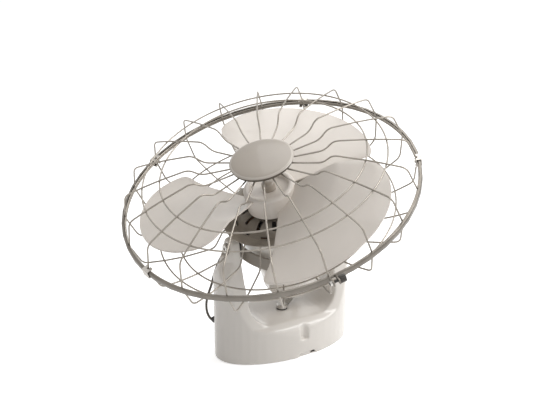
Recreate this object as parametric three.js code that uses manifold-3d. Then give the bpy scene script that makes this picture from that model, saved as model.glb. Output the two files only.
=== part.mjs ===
// Orbital ceiling fan: a 16 inch class fan head in a two-axis gimbal, carried by a moulded yoke.
// Millimetres, +Z up. The origin is the centre of the yoke's flat mounting face, so the fan stands
// on the face that is screwed to the ceiling in use. X runs from arm to arm.
import * as THREE from "three";
import { mergeVertices } from "three/addons/utils/BufferGeometryUtils.js";
import Module from "manifold-3d";

const wasm = await Module();
wasm.setup();

const DEG = Math.PI / 180;
const FIT = 0.3; // running or seating gap between two pieces
const WELD = 0.4; // how deep welded wires sink into each other

// What passes inside the arms
const CASE_WAIST_R = 59; // the motor case where it passes through the gimbal ring
const RING_R = CASE_WAIST_R + 19.5;
const TAIL_BALL_REACH = 118; // tilt centre to the far side of the ball

// Yoke
const ARM_INNER = RING_R + 5.5; // from the middle plane to an arm's inner face
const ARM_OUTER = ARM_INNER + 25.3; // to its outer face at the pivot
const YOKE_A = ARM_OUTER + 12.5; // half length of the oval plan
const YOKE_B = 65; // half width of the oval plan
const YOKE_WALL = 3;
const SADDLE_Z = 62; // height of the saddle floor
const SADDLE_CORNER = 38; // radius between the saddle floor and an arm
const ARM_TOP_RISE = 19; // arm top above the pivot
const ARM_HALF_WIDTH = 14.5; // at the pivot, across the fan
const SHOULDER_Z = 40; // where the front and back walls start to round over
const PIVOT_Z = SADDLE_Z + TAIL_BALL_REACH + 10; // both tilt axes cross at this height
const CABLE_NOTCH = { x: 31, width: 28, height: 7 };
const POCKET = { x: 24, y: 46, radius: 7, tail: 15, floor: 8 };
const MOUNT_PLATE_T = 2;
const MOUNT_SCREW_R = 2.4;
const MOUNT_HEAD_R = 4.6;
const MOUNT_HEAD_H = 3;
const DRIVE_BUSH_R = 6;
const GLAND_R = 4.5;
const GLAND_X = 13.8 - YOKE_A; // where the motor lead leaves the yoke's back wall
const GLAND_Z = 55;
const CABLE_HOLE = { x: -50, y: 26, radius: 11 };
const CORD_R = 2;
const SADDLE_FLANGE_H = 1.5;
const SLEEVE_TURN = 150; // about the ring, from its own X
const SLEEVE_WALL = 1.4;
const SLEEVE_LONG = 12;

// Tilt at rest, and what is set about it
const RING_TILT = 11.5;
const HEAD_TILT = -19.9;
const ORBIT_TILT = 22.8; // angle that the fan's axis keeps from the vertical as it orbits

// Gimbal ring
const RING_WALL = 3;
const RING_HEIGHT = 22;
const RING_DROP = 8; // ring's middle plane below the pivot axes
const LUG_R = 12;
const PIVOT_PIN_R = 4;
const PIVOT_HEAD_R = 8;
const PIVOT_HEAD_H = 5;
const PIVOT_RECESS_R = 10.9;
const PIVOT_RECESS_DEPTH = 9;
const BUSH_R = 7;
const BUSH_FLANGE_R = 12.5;
const BUSH_FLANGE_H = 2.4;

// Fan head, measured along the fan's axis from the crossing of the tilt axes
const CASE_WALL = 2.2;
const CASE_FRONT = 55;
const CASE_JOIN = -16; // where the case and the rear bowl meet
const CASE_R = CASE_WAIST_R + 8; // at the front
const BOWL_R = 49;
const BOWL_STEP = -52;
const BOWL_END = -84;
const TAIL_R = 36;
const TAIL_END = -104;
const TAIL_PIN_R = 4;
const HEAD_GLAND_TURN = 140; // about the axis, from the ring's own X
const HEAD_GLAND_S = -42;
const PIVOT_BOSS_R = 9;
const COVER_R = CASE_R + 9; // flange of the front cover
const COVER_PLATE = 2;
const COVER_DOME_R = 46; // shoulder of the dome
const COVER_RISE = 12; // dome top above the flange's back
const VENTS = 12;
const TAIL_BALL_R = 6;

// Motor
const SHAFT_R = 4;
const SHAFT_REAR = -40;
const BEARING_R = 11;
const BEARING_H = 7;
const STATOR_R = CASE_WAIST_R + 3 - CASE_WALL - 3 * FIT;
const STATOR_BORE = 30;
const STATOR_BACK = -4;
const STATOR_H = 30;
const STATOR_TEETH = 12;
const AIR_GAP = 0.6;
const COIL_H = 9;

// Guards, measured along the axis from the guard ring's plane
const BLADE_R = 209; // the blades' reach, which the guards clear
const RING_PLANE = 100.7;
const GUARD_TURN = 9.3; // turn of the first spoke about the axis
const SPOKES = 20;
const WIRE_R = 1.3;
const HOOP_R = 1.3;
const RIM_R = 1.5;
const RIM_CENTRE = BLADE_R + 23;
const RIM_OFFSET = 1.65;
const SHOULDER_IN = 11.5; // from the rim in to the spokes' shoulder
const SHOULDER_R = RIM_CENTRE - SHOULDER_IN;
const HOOP_RADII = [RIM_CENTRE - 41, RIM_CENTRE - 71];
const SHOULDER_H = 42;
const FRONT_CROWN = 2;
const REAR_CROWN = 4.5;
const SPOKE_PEAK_R = 112.5;
const SPOKE_PEAK_H = 66.5;
const WELL_R = 96;
const WELL_H = 52.5;
const SPOKE_END_R = 40;
const HUB_PLATE_R = 45;
const REAR_SHOULDER_H = 41;
const REAR_PEAK_R = 110.5;
const REAR_PEAK_H = 68.5;
const REAR_WELL_R = 89;
const REAR_WELL_H = 42.5;
const REAR_PLATE_BORE = CASE_R + 3;
const REAR_PLATE_R = REAR_PLATE_BORE + 16;
const REAR_SPOKE_END_R = REAR_PLATE_BORE + 8;
const GUARD_PLATE_T = 1.6;
const CAP_R = 50.5;
const CAP_WALL = 2;
const CAP_RISE = 5.5;
const CAP_SKIRT = 5;
const CAP_SCREW_R = 2;

// Guard ring, its clips and its clamp screw
const BAND_IN = RIM_CENTRE + RIM_R + 0.7;
const BAND_OUT = BAND_IN + 3;
const BAND_HALF = 4.6;
const LIP_DEPTH = 0.9; // how far the band's lips reach in over the rims
const LIP_R = BAND_IN - LIP_DEPTH;
const LIP_T = 1.2;
const CLIPS = 4;
const CLIP_WIDTH = 15;
const CLIP_T = 1.2;
const CLIP_GRIP = 4.3; // how far a clip reaches in past the lips
const CLIP_REACH = LIP_R - CLIP_GRIP;
const CLAMP_TURN = 262.6; // about the axis, from the gimbal's own X
const CLAMP_GAP = 7;
const EAR_T = 2;
const EAR_WIDTH = 8;
const CLAMP_SCREW_R = 2;
const KNOB_R = 5.5;
const KNOB_H = 9;
const CLAMP_NUT_H = 3.4;

const clampReach = BAND_OUT + KNOB_R + 2 * FIT;
const EAR_REACH = clampReach + 4.5;

// Blade wheel
const BLADES = 3;
const BLADE_TURN = 0; // azimuth of a blade's low edge
const BLADE_T = 2.4;
const BLADE_LOW = 78; // axis place of the low edge
const BLADE_ROOT_RISE = 0.32; // climb along the axis for each degree, at the hub
const BLADE_TIP_RISE = 0.56;
const BLADE_TWIST_R = 110; // the climb grows from the hub to here
const BLADE_EDGE_T = 1.2;
const HUB_R = 41;
const HUB_BACK = 74;
const HUB_FRONT = 109;
const HUB_DISH_R = 31;
const HUB_DISH_DEPTH = 7;
const HUB_WALL = 2.5;
const HUB_BOSS_R = 9;
const PIN_R = 1.5;
const PIN_HALF = 8.5;
const NUT_R = 10.5;
const NUT_H = 14;

// Orbit drive in the yoke
const DRIVE_R = 25;
const DRIVE_H = 20;
const DRIVE_SHAFT_R = 3.5;
const CRANK_HUB_R = 9;
const CRANK_HUB_H = 6;
const CRANK_ARM_W = 13;
const CRANK_ARM_T = 3.2;
const CRANK_CLEAR = 0.8; // between the swept ball and the crank's cup
const CUP_R = 8.5;

// ---------------------------------------------------------------- solids

// A closed geometry as a solid. Faces that wind inwards are turned.
function solid(geometry) {
  const bare = geometry.index ? geometry.toNonIndexed() : geometry.clone();
  for (const name of Object.keys(bare.attributes)) if (name !== "position") bare.deleteAttribute(name);
  const merged = mergeVertices(bare, 1e-4);
  const place = merged.attributes.position;
  const faces = [];
  let volume = 0;
  const [a, b, c] = [new THREE.Vector3(), new THREE.Vector3(), new THREE.Vector3()];
  for (let i = 0; i < merged.index.count; i += 3) {
    const corner = [merged.index.getX(i), merged.index.getX(i + 1), merged.index.getX(i + 2)];
    if (new Set(corner).size < 3) continue;
    faces.push(corner);
    a.fromBufferAttribute(place, corner[0]);
    b.fromBufferAttribute(place, corner[1]);
    c.fromBufferAttribute(place, corner[2]);
    volume += a.dot(b.cross(c));
  }
  const turned = volume < 0 ? faces.map(([p, q, r]) => [p, r, q]) : faces;
  return new wasm.Manifold(
    new wasm.Mesh({
      numProp: 3,
      vertProperties: new Float32Array(place.array),
      triVerts: new Uint32Array(turned.flat()),
    }),
  );
}

const join = (first, ...rest) => rest.reduce((sum, piece) => sum.add(piece), first);
const cut = (first, ...rest) => rest.reduce((left, piece) => left.subtract(piece), first);

// A placed copy: mm along X, Y, Z after a turn in degrees about X, then Y, then Z.
function placed(piece, [x, y, z], [rx, ry, rz] = [0, 0, 0]) {
  const m = new THREE.Matrix4()
    .makeTranslation(x, y, z)
    .multiply(new THREE.Matrix4().makeRotationZ(rz * DEG))
    .multiply(new THREE.Matrix4().makeRotationY(ry * DEG))
    .multiply(new THREE.Matrix4().makeRotationX(rx * DEG));
  return piece.transform(m.elements);
}

// A revolve about Z of [radius, height] points, which start and end on the axis or close on themselves.
function revolve(points, segments = 32) {
  const outline = points.map(([r, z]) => new THREE.Vector2(r, z));
  return solid(new THREE.LatheGeometry(outline, segments).rotateX(Math.PI / 2));
}

// A ring of rectangular section about Z.
function tube(outer, inner, low, high, segments = 32) {
  return revolve([[inner, low], [outer, low], [outer, high], [inner, high], [inner, low]], segments);
}

// A round bar along Z between two heights.
function bar(radius, low, high, segments = 16) {
  return revolve([[0, low], [radius, low], [radius, high], [0, high]], segments);
}

function box(x, y, z, centre = [0, 0, 0]) {
  return solid(new THREE.BoxGeometry(x, y, z).translate(...centre));
}

// A flat outline of [x, y] points raised along Z.
function raised(points, low, high) {
  const shape = new THREE.Shape(points.map(([x, y]) => new THREE.Vector2(x, y)));
  const geometry = new THREE.ExtrudeGeometry(shape, { depth: high - low, bevelEnabled: false });
  return solid(geometry.translate(0, 0, low));
}

// A round wire along a bent line that lies in the plane of X and Z, with mitred corners.
function bentWire(line, radius, sides = 4) {
  const rings = line.map(([x, z], i) => {
    const before = line[Math.max(i - 1, 0)];
    const after = line[Math.min(i + 1, line.length - 1)];
    const into = new THREE.Vector2(x - before[0], z - before[1]).normalize();
    const out = new THREE.Vector2(after[0] - x, after[1] - z).normalize();
    if (!into.lengthSq()) into.copy(out);
    if (!out.lengthSq()) out.copy(into);
    const way = into.clone().add(out).normalize();
    const mitre = 1 / Math.max(way.dot(into), 0.5);
    return Array.from({ length: sides }, (_, k) => {
      const a = (2 * Math.PI * (k + 0.5)) / sides;
      const side = radius * mitre * Math.cos(a);
      return new THREE.Vector3(x - way.y * side, radius * Math.sin(a), z + way.x * side);
    });
  });
  const lids = [rings[0], rings.at(-1)];
  const geometry = new THREE.BufferGeometry();
  const faces = [];
  for (let i = 0; i + 1 < rings.length; i++)
    for (let j = 0; j < sides; j++) {
      const k = (j + 1) % sides;
      const [p, q, r, s] = [i * sides + j, i * sides + k, (i + 1) * sides + k, (i + 1) * sides + j];
      faces.push([p, q, r], [p, r, s]);
    }
  const last = (rings.length - 1) * sides;
  for (let j = 1; j + 1 < lids[0].length; j++)
    faces.push([0, j + 1, j], [last, last + j, last + j + 1]);
  geometry.setAttribute(
    "position",
    new THREE.Float32BufferAttribute(rings.flat().flatMap((p) => p.toArray()), 3),
  );
  geometry.setIndex(faces.flat());
  return solid(geometry);
}

// A bent line with each inner corner rounded by `steps` chords over `radius`.
function rounded(line, radius, steps = 1) {
  const out = [line[0]];
  for (let i = 1; i + 1 < line.length; i++) {
    const at = new THREE.Vector2(...line[i]);
    const into = new THREE.Vector2(...line[i - 1]).sub(at);
    const away = new THREE.Vector2(...line[i + 1]).sub(at);
    const reach = Math.min(radius, into.length() / 2.5, away.length() / 2.5);
    const start = at.clone().add(into.setLength(reach));
    const end = at.clone().add(away.setLength(reach));
    const bend = new THREE.QuadraticBezierCurve(start, at, end);
    out.push(...bend.getPoints(steps).map((p) => [p.x, p.y]));
  }
  out.push(line.at(-1));
  return out;
}

function hoop(radius, wire, height, segments = 40, sides = 4) {
  return solid(new THREE.TorusGeometry(radius, wire, sides, segments).translate(0, 0, height));
}

// A named mesh with its own material.
function piece(name, body, colour, roughness, metalness = 0) {
  const mesh = body.getMesh();
  const stride = mesh.numProp;
  const place = new Float32Array(mesh.numVert * 3);
  for (let i = 0; i < mesh.numVert; i++)
    place.set(mesh.vertProperties.subarray(i * stride, i * stride + 3), 3 * i);
  const geometry = new THREE.BufferGeometry();
  geometry.setAttribute("position", new THREE.BufferAttribute(place, 3));
  geometry.setIndex(new THREE.BufferAttribute(new Uint32Array(mesh.triVerts), 1));
  geometry.computeVertexNormals();
  const made = new THREE.Mesh(
    geometry,
    new THREE.MeshStandardMaterial({ color: colour, roughness, metalness }),
  );
  made.name = name;
  return made;
}

const WHITE_PLASTIC = [0xe6ded6, 0.35];
const BLADE_PLASTIC = [0xd6cdc4, 0.4];
const DARK_PAINT = [0x6f665b, 0.5, 0.2];
const CAP_PLASTIC = [0xb0a799, 0.35];
const GUARD_WIRE = [0xa79e93, 0.35, 0.6];
const STEEL = [0x9a958e, 0.35, 0.9];
const BLACK_PLASTIC = [0x2c2925, 0.5];
const COPPER = [0xa8643a, 0.4, 0.8];
const LAMINATION = [0x77736d, 0.5, 0.8];
const CORD_RUBBER = [0x5e564b, 0.6];

// ---------------------------------------------------------------- yoke

// The lead's gland sits square to the oval back wall.
const glandPlace = [GLAND_X, YOKE_B * Math.sqrt(1 - (GLAND_X / YOKE_A) ** 2), GLAND_Z];
const glandNormal = Math.atan2(glandPlace[1] / YOKE_B ** 2, GLAND_X / YOKE_A ** 2) / DEG;
const glandTurn = [0, 90, glandNormal];

// Half the width of the yoke's side outline at a height, where it narrows into the arms.
const SIDE_OUTLINE = [
  [YOKE_B, 0],
  [YOKE_B, SHOULDER_Z],
  [YOKE_B - 2, SHOULDER_Z + 9],
  [YOKE_B - 7, SHOULDER_Z + 16],
  [YOKE_B - 17, SADDLE_Z],
  [ARM_HALF_WIDTH + 27, SADDLE_Z + 20],
  [ARM_HALF_WIDTH + 16.5, PIVOT_Z - 70],
  [ARM_HALF_WIDTH + 3.5, PIVOT_Z - 22],
  [ARM_HALF_WIDTH, PIVOT_Z],
];

// The yoke's solid form, drawn in by `inset` from the outer skin.
function yokeForm(inset) {
  const plan = solid(
    new THREE.CylinderGeometry(1, 1, 1, 48)
      .rotateX(Math.PI / 2)
      .translate(0, 0, 0.5)
      .scale(YOKE_A - inset, YOKE_B - inset, 2 * PIVOT_Z)
      .translate(0, 0, inset ? -PIVOT_Z / 2 : 0),
  );
  const low = inset ? -1 : 0;
  const top = ARM_TOP_RISE - inset;
  const crown = (half) =>
    [0, 30, 60, 90, 120, 150, 180].map((a) => [
      (half - inset) * Math.cos(a * DEG),
      PIVOT_Z + top * Math.sin(a * DEG),
    ]);
  const lower = (z) => Math.max(z - (z > SADDLE_Z ? 0 : inset), low);
  const right = SIDE_OUTLINE.slice(0, -1).map(([y, z]) => [y - inset, lower(z)]);
  const left = right.map(([y, z]) => [-y, z]).reverse();
  const side = raised([...right, ...crown(ARM_HALF_WIDTH), ...left], -YOKE_A, YOKE_A);
  const outer = [
    [YOKE_A, low],
    [YOKE_A, PIVOT_Z - 62],
    [YOKE_A - 3, PIVOT_Z - 34],
    [ARM_OUTER, PIVOT_Z - 6],
    [ARM_OUTER - 4.5, PIVOT_Z + 8],
    [ARM_OUTER - 10, PIVOT_Z + ARM_TOP_RISE - 3.5],
    [ARM_OUTER - 16, PIVOT_Z + ARM_TOP_RISE],
  ].map(([x, z]) => [x - inset, z > PIVOT_Z ? z - inset : z]);
  const front = raised([...outer, ...outer.map(([x, z]) => [-x, z]).reverse()], -YOKE_B, YOKE_B);
  // the extruded outlines stand up: height goes to Z
  const sideUp = placed(side, [0, 0, 0], [90, 0, 90]);
  const frontUp = placed(front, [0, 0, 0], [90, 0, 0]);
  return cut(plan.intersect(sideUp).intersect(frontUp), saddleCutter(inset), ...edgeCutters(inset));
}

// The arms' outer edges are bevelled away, so the guard clears them at full lean.
const ARM_EDGE = [
  [ARM_OUTER + 24.7, -45],
  [ARM_OUTER + 6.7, -20],
  [ARM_OUTER + 5.2, 0],
  [ARM_OUTER - 1.3, 13],
  [ARM_OUTER - 6.3, 21],
];
function edgeCutters(inset) {
  const bevel = ARM_EDGE.map(([reach, rise]) => [reach / Math.SQRT2 - inset, PIVOT_Z + rise]);
  const top = bevel.at(-1)[1];
  const outline = [...bevel, [2 * YOKE_A, top], [2 * YOKE_A, bevel[0][1]]];
  const cutter = placed(raised(outline, -YOKE_A, YOKE_A), [0, 0, 0], [90, 0, 0]);
  return [45, 135, 225, 315].map((turn) => placed(cutter, [0, 0, 0], [0, 0, turn]));
}

// What is taken out between the arms: a U that the shell's inner skin keeps `inset` away from.
function saddleCutter(inset) {
  const face = ARM_INNER + inset;
  const floor = SADDLE_Z - inset;
  const radius = SADDLE_CORNER;
  const corner = [0, 15, 30, 45, 60, 75, 90].map((a) => [
    face - 3 - radius + radius * Math.cos((a - 90) * DEG),
    floor + radius + radius * Math.sin((a - 90) * DEG),
  ]);
  const half = [...corner, [face, PIVOT_Z - 30], [face, 2 * PIVOT_Z]];
  const outline = [...half, ...half.map(([x, z]) => [-x, z]).reverse()];
  return placed(raised(outline, -YOKE_A, YOKE_A), [0, 0, 0], [90, 0, 0]);
}

// A teardrop well for a mounting screw: round at the screw, drawn out towards the middle.
function pocket(grow, low, high) {
  const r = POCKET.radius + grow;
  const round = [];
  for (let a = -60; a <= 240; a += 30) round.push([r * Math.cos(a * DEG), r * Math.sin(a * DEG)]);
  return raised([...round, [0, -POCKET.tail - grow]], low, high);
}

function yokeShell() {
  const outerForm = yokeForm(0);
  // the arm heads stay solid round the pivots
  const head = box(2 * YOKE_A, 2 * YOKE_B, PIVOT_Z, [0, 0, PIVOT_Z * 1.5 - BUSH_FLANGE_R]);
  const skin = cut(outerForm, cut(yokeForm(YOKE_WALL), head));
  const bosses = [];
  const holes = [];
  for (const side of [1, -1]) {
    holes.push(placed(bar(BUSH_R + FIT, ARM_INNER - 9, ARM_OUTER + 9), [0, 0, PIVOT_Z], [0, 90 * side, 0]));
    const recess = bar(PIVOT_RECESS_R, ARM_OUTER - PIVOT_RECESS_DEPTH, ARM_OUTER + 9, 28);
    holes.push(placed(recess, [0, 0, PIVOT_Z], [0, 90 * side, 0]));
    const turn = side > 0 ? 180 : 0;
    const place = [side * POCKET.x, -side * POCKET.y, 0];
    bosses.push(placed(pocket(2.4, MOUNT_PLATE_T + FIT, SADDLE_Z), place, [0, 0, turn]).intersect(outerForm));
    holes.push(placed(pocket(0, POCKET.floor, 2 * SADDLE_Z), place, [0, 0, turn]));
    holes.push(placed(bar(MOUNT_SCREW_R + FIT, -1, POCKET.floor + 1), place));
  }
  const driveHole = bar(DRIVE_BUSH_R + FIT, 0, 2 * SADDLE_Z);
  const notch = box(CABLE_NOTCH.width, 12, 2 * CABLE_NOTCH.height, [CABLE_NOTCH.x, -YOKE_B + 3, 0]);
  const gland = placed(bar(GLAND_R + FIT, -12, 12), glandPlace, glandTurn);
  return cut(join(skin, ...bosses), ...holes, driveHole, notch, gland);
}

function mountingPlate() {
  const [a, b] = [YOKE_A - YOKE_WALL - 2 * FIT, YOKE_B - YOKE_WALL - 2 * FIT];
  const outline = [];
  for (let turn = 0; turn < 360; turn += 11.25)
    outline.push([a * Math.cos(turn * DEG), b * Math.sin(turn * DEG)]);
  const holes = [1, -1].map((side) =>
    placed(bar(MOUNT_SCREW_R + FIT, -1, 2 * MOUNT_PLATE_T), [side * POCKET.x, -side * POCKET.y, 0]),
  );
  const cable = placed(bar(CABLE_HOLE.radius, -1, 2 * MOUNT_PLATE_T), [CABLE_HOLE.x, CABLE_HOLE.y, 0]);
  return cut(raised(outline, 0, MOUNT_PLATE_T), ...holes, cable);
}

function mountingScrew() {
  const seat = POCKET.floor + FIT;
  return revolve(
    [
      [0, FIT],
      [MOUNT_SCREW_R, FIT],
      [MOUNT_SCREW_R, seat],
      [MOUNT_HEAD_R, seat],
      [MOUNT_HEAD_R, seat + 1],
      [MOUNT_HEAD_R - 1.5, seat + MOUNT_HEAD_H],
      [0, seat + MOUNT_HEAD_H],
    ],
    16,
  );
}

// Flanged bush in an arm, drawn along Z with the flange towards the ring.
function armBush() {
  const face = ARM_INNER - FIT;
  const end = ARM_OUTER - PIVOT_RECESS_DEPTH - FIT;
  const bore = PIVOT_PIN_R + FIT;
  return revolve(
    [
      [bore, face - BUSH_FLANGE_H],
      [BUSH_FLANGE_R, face - BUSH_FLANGE_H],
      [BUSH_FLANGE_R, face],
      [BUSH_R, face],
      [BUSH_R, end],
      [bore, end],
      [bore, face - BUSH_FLANGE_H],
    ],
    16,
  );
}

// Shouldered pivot screw along Z: its tip at `tip`, its head from `seat` outwards.
function pivotScrew(tip, seat) {
  const screw = revolve(
    [
      [0, tip],
      [PIVOT_PIN_R, tip],
      [PIVOT_PIN_R, seat],
      [PIVOT_HEAD_R, seat],
      [PIVOT_HEAD_R, seat + PIVOT_HEAD_H - 1],
      [PIVOT_HEAD_R - 1, seat + PIVOT_HEAD_H],
      [0, seat + PIVOT_HEAD_H],
    ],
    16,
  );
  const socket = solid(new THREE.CylinderGeometry(3, 3, 6, 6).rotateX(Math.PI / 2));
  const hex = placed(socket, [0, 0, seat + PIVOT_HEAD_H]);
  return cut(screw, hex);
}

// The orbit drive is a small geared motor that hangs under the saddle.
const driveTop = SADDLE_Z - YOKE_WALL - FIT;
function orbitDrive() {
  const can = revolve(
    [
      [DRIVE_SHAFT_R + FIT, driveTop],
      [DRIVE_SHAFT_R + FIT, driveTop - DRIVE_H + 4],
      [0, driveTop - DRIVE_H + 4],
      [0, driveTop - DRIVE_H],
      [DRIVE_R - 1, driveTop - DRIVE_H],
      [DRIVE_R, driveTop - DRIVE_H + 1],
      [DRIVE_R, driveTop],
      [DRIVE_SHAFT_R + FIT, driveTop],
    ],
    20,
  );
  const ears = box(2 * DRIVE_R + 16, 10, 2, [0, 0, driveTop - 1]);
  return join(can, cut(ears, bar(DRIVE_R - 2, 0, 2 * SADDLE_Z)));
}

// Flanged bush in the saddle, round the drive's shaft.
function saddleBush() {
  const bore = DRIVE_SHAFT_R + FIT;
  const flange = SADDLE_Z + FIT;
  return revolve(
    [
      [bore, driveTop + FIT],
      [DRIVE_BUSH_R, driveTop + FIT],
      [DRIVE_BUSH_R, flange],
      [DRIVE_BUSH_R + 3, flange],
      [DRIVE_BUSH_R + 3, flange + SADDLE_FLANGE_H],
      [bore, flange + SADDLE_FLANGE_H],
      [bore, driveTop + FIT],
    ],
    16,
  );
}

function terminalBlock() {
  const base = MOUNT_PLATE_T + FIT;
  const body = box(36, 14, 11, [0, 0, base + 5.5]);
  const wells = [-12, 0, 12].map((x) => placed(bar(3, base + 5, base + 20, 12), [x, 0, 0]));
  return cut(body, ...wells);
}

function capacitor() {
  const base = MOUNT_PLATE_T + FIT;
  const body = box(34, 18, 24, [0, 0, base + 12]);
  const ear = box(12, 18, 2, [23, 0, base + 1]);
  return cut(join(body, ear), placed(bar(2, base - 1, base + 4, 12), [24, 0, 0]));
}

// ---------------------------------------------------------------- crank

// The crank rises from the drive's shaft to a dished cup that the head's tail ball rides in.
// The cup's dish is centred on the tilt centre, so the ball clears it at every tilt.
const sweep = TAIL_BALL_REACH + CRANK_CLEAR;
const cupPlace = [sweep * Math.sin(ORBIT_TILT * DEG), PIVOT_Z - sweep * Math.cos(ORBIT_TILT * DEG)];
function orbitCrank() {
  const low = SADDLE_Z + FIT + SADDLE_FLANGE_H + FIT;
  const hub = revolve(
    [
      [0, low],
      [CRANK_HUB_R, low],
      [CRANK_HUB_R, low + CRANK_HUB_H - 1.5],
      [CRANK_HUB_R - 2, low + CRANK_HUB_H],
      [0, low + CRANK_HUB_H],
    ],
    16,
  );
  const [reach, height] = cupPlace;
  const half = CRANK_ARM_W / 2;
  const rise = [
    [0, low + 0.5],
    [CRANK_HUB_R, low + 0.5],
    [reach - CUP_R, height - 6],
    [reach + 2, height - 4],
    [reach + 2, height - 4 + CRANK_ARM_T],
    [reach - CUP_R, height - 6 + CRANK_ARM_T],
    [CRANK_HUB_R, low + 0.5 + CRANK_ARM_T],
    [0, low + 0.5 + CRANK_ARM_T],
  ];
  const arm = placed(raised(rise, -half, half), [0, 0, 0], [90, 0, 0]);
  const cup = placed(bar(CUP_R, -6, 4, 16), [reach, 0, height], [0, -ORBIT_TILT, 0]);
  const sag = (r) => sweep - Math.sqrt(sweep ** 2 - r ** 2);
  const rim = CUP_R + 8;
  const hollow = revolve([[0, 0], [CUP_R, sag(CUP_R)], [rim, sag(rim)], [rim, rim], [0, rim]], 20);
  const dish = placed(hollow, [reach, 0, height], [0, -ORBIT_TILT, 0]);
  const well = placed(bar(TAIL_BALL_R - 1, -3.5, 5), [reach, 0, height], [0, -ORBIT_TILT, 0]);
  const shaft = bar(DRIVE_SHAFT_R, driveTop - DRIVE_H + 4 + FIT, low + 1);
  const form = cut(join(hub, arm, cup), dish, well);
  return join(form, shaft);
}
const crank = new THREE.Group();
// at rest the crank points away from the way the head leans
const lean = Math.atan2(
  -Math.sin(RING_TILT * DEG) * Math.cos(HEAD_TILT * DEG),
  Math.sin(HEAD_TILT * DEG),
);
crank.rotation.z = lean + Math.PI;
crank.add(piece("orbit_crank", orbitCrank(), ...STEEL));

// ---------------------------------------------------------------- gimbal ring

// A pressed ring with four lugs: two turn in the arms, two carry the head.
function gimbalRing() {
  const low = -RING_DROP - RING_HEIGHT / 2;
  const high = -RING_DROP + RING_HEIGHT / 2;
  const inside = RING_R - RING_WALL;
  const band = revolve(
    [
      [inside, low],
      [RING_R - 1, low],
      [RING_R, low + 1.5],
      [RING_R, high - 1.5],
      [RING_R - 1, high],
      [inside, high],
      [inside, low],
    ],
    32,
  );
  const lugs = [];
  const bores = [];
  for (const turn of [0, 90, 180, 270]) {
    const outer = turn % 180 ? RING_R + 0.6 : ARM_INNER - 2 * FIT - BUSH_FLANGE_H;
    const place = (body) => placed(placed(body, [0, 0, 0], [0, 90, 0]), [0, 0, 0], [0, 0, turn]);
    lugs.push(place(bar(LUG_R, turn % 180 ? inside : inside + 2, outer)));
    bores.push(place(bar(PIVOT_PIN_R + FIT, inside - 2, outer + 2)));
    if (turn % 180) bores.push(place(bar(PIVOT_BOSS_R + 1, inside - 9, inside)));
  }
  return cut(join(band, ...lugs), ...bores);
}

// A small sleeve on the ring's outside that the two lengths of the motor lead meet in.
const leadReach = RING_R + FIT + SLEEVE_WALL + CORD_R + FIT;
function leadSleeve() {
  const half = SLEEVE_WALL + CORD_R + FIT;
  const body = box(2 * half, SLEEVE_LONG, 2 * half, [leadReach, 0, -RING_DROP]);
  const bore = bar(CORD_R + FIT, -SLEEVE_LONG, SLEEVE_LONG, 16);
  return cut(body, placed(bore, [leadReach, 0, -RING_DROP], [90, 0, 0]));
}

// ---------------------------------------------------------------- head

function motorCase() {
  const inner = (r) => r - CASE_WALL;
  const shell = revolve(
    [
      [CASE_WAIST_R, CASE_JOIN],
      [CASE_WAIST_R + 3, 0],
      [CASE_R - 1.5, CASE_FRONT - 25],
      [CASE_R, CASE_FRONT],
      [inner(CASE_R), CASE_FRONT],
      [inner(CASE_R - 1.5), CASE_FRONT - 25],
      [inner(CASE_WAIST_R + 3), 0],
      [inner(CASE_WAIST_R + 3), STATOR_BACK - FIT],
      [STATOR_R - 3, STATOR_BACK - FIT],
      [STATOR_R - 3, STATOR_BACK - 3],
      [inner(CASE_WAIST_R) - 1, CASE_JOIN + 3],
      [BEARING_R + 3, CASE_JOIN + 3],
      [BEARING_R + 3, CASE_JOIN + BEARING_H],
      [BEARING_R + FIT, CASE_JOIN + BEARING_H],
      [BEARING_R + FIT, CASE_JOIN + FIT],
      [SHAFT_R + 2, CASE_JOIN + FIT],
      [SHAFT_R + 2, CASE_JOIN - 2],
      [BEARING_R + 3, CASE_JOIN - 2],
      [BEARING_R + 3, CASE_JOIN],
      [CASE_WAIST_R, CASE_JOIN],
    ],
    24,
  );
  const bosses = [];
  const bores = [];
  for (const turn of [-90, 90]) {
    const boss = bar(PIVOT_BOSS_R, CASE_WAIST_R + 1.2, RING_R - RING_WALL - FIT, 16);
    bosses.push(placed(boss, [0, 0, 0], [turn, 0, 0]));
    bores.push(placed(bar(PIVOT_PIN_R + FIT, CASE_WAIST_R - 1, RING_R + 2), [0, 0, 0], [turn, 0, 0]));
  }
  return cut(join(shell, ...bosses), ...bores);
}

function rearBowl() {
  const mouth = CASE_JOIN - FIT;
  const wall = CASE_WALL;
  const bowl = revolve(
    [
      [CASE_WAIST_R - 0.5, mouth],
      [bowlShoulder.r, bowlShoulder.s],
      [BOWL_R, BOWL_STEP],
      [BOWL_R, BOWL_END],
      [BOWL_R - 4, BOWL_END - 12],
      [TAIL_R, TAIL_END],
      [TAIL_PIN_R + FIT, TAIL_END],
      [TAIL_PIN_R + FIT, TAIL_END + wall + 1],
      [TAIL_R - 1, TAIL_END + wall + 1],
      [BOWL_R - 4 - wall, BOWL_END - 11],
      [BOWL_R - wall, BOWL_END],
      [BOWL_R - wall, BOWL_STEP],
      [bowlShoulder.r - wall, bowlShoulder.s],
      [CASE_WAIST_R - 0.5 - wall, mouth],
      [CASE_WAIST_R - 0.5, mouth],
    ],
    24,
  );
  const gland = placed(bar(GLAND_R + FIT, -8, 8), headGlandPlace, headGlandTurn);
  return cut(bowl, gland);
}
const bowlShoulder = { r: CASE_WAIST_R - 3, s: CASE_JOIN - 14 };
const bowlSlope = (bowlShoulder.r - BOWL_R) / (bowlShoulder.s - BOWL_STEP);
const headGlandR = BOWL_R + bowlSlope * (HEAD_GLAND_S - BOWL_STEP);
const headGlandPlace = [
  headGlandR * Math.cos(HEAD_GLAND_TURN * DEG),
  headGlandR * Math.sin(HEAD_GLAND_TURN * DEG),
  HEAD_GLAND_S,
];
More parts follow.
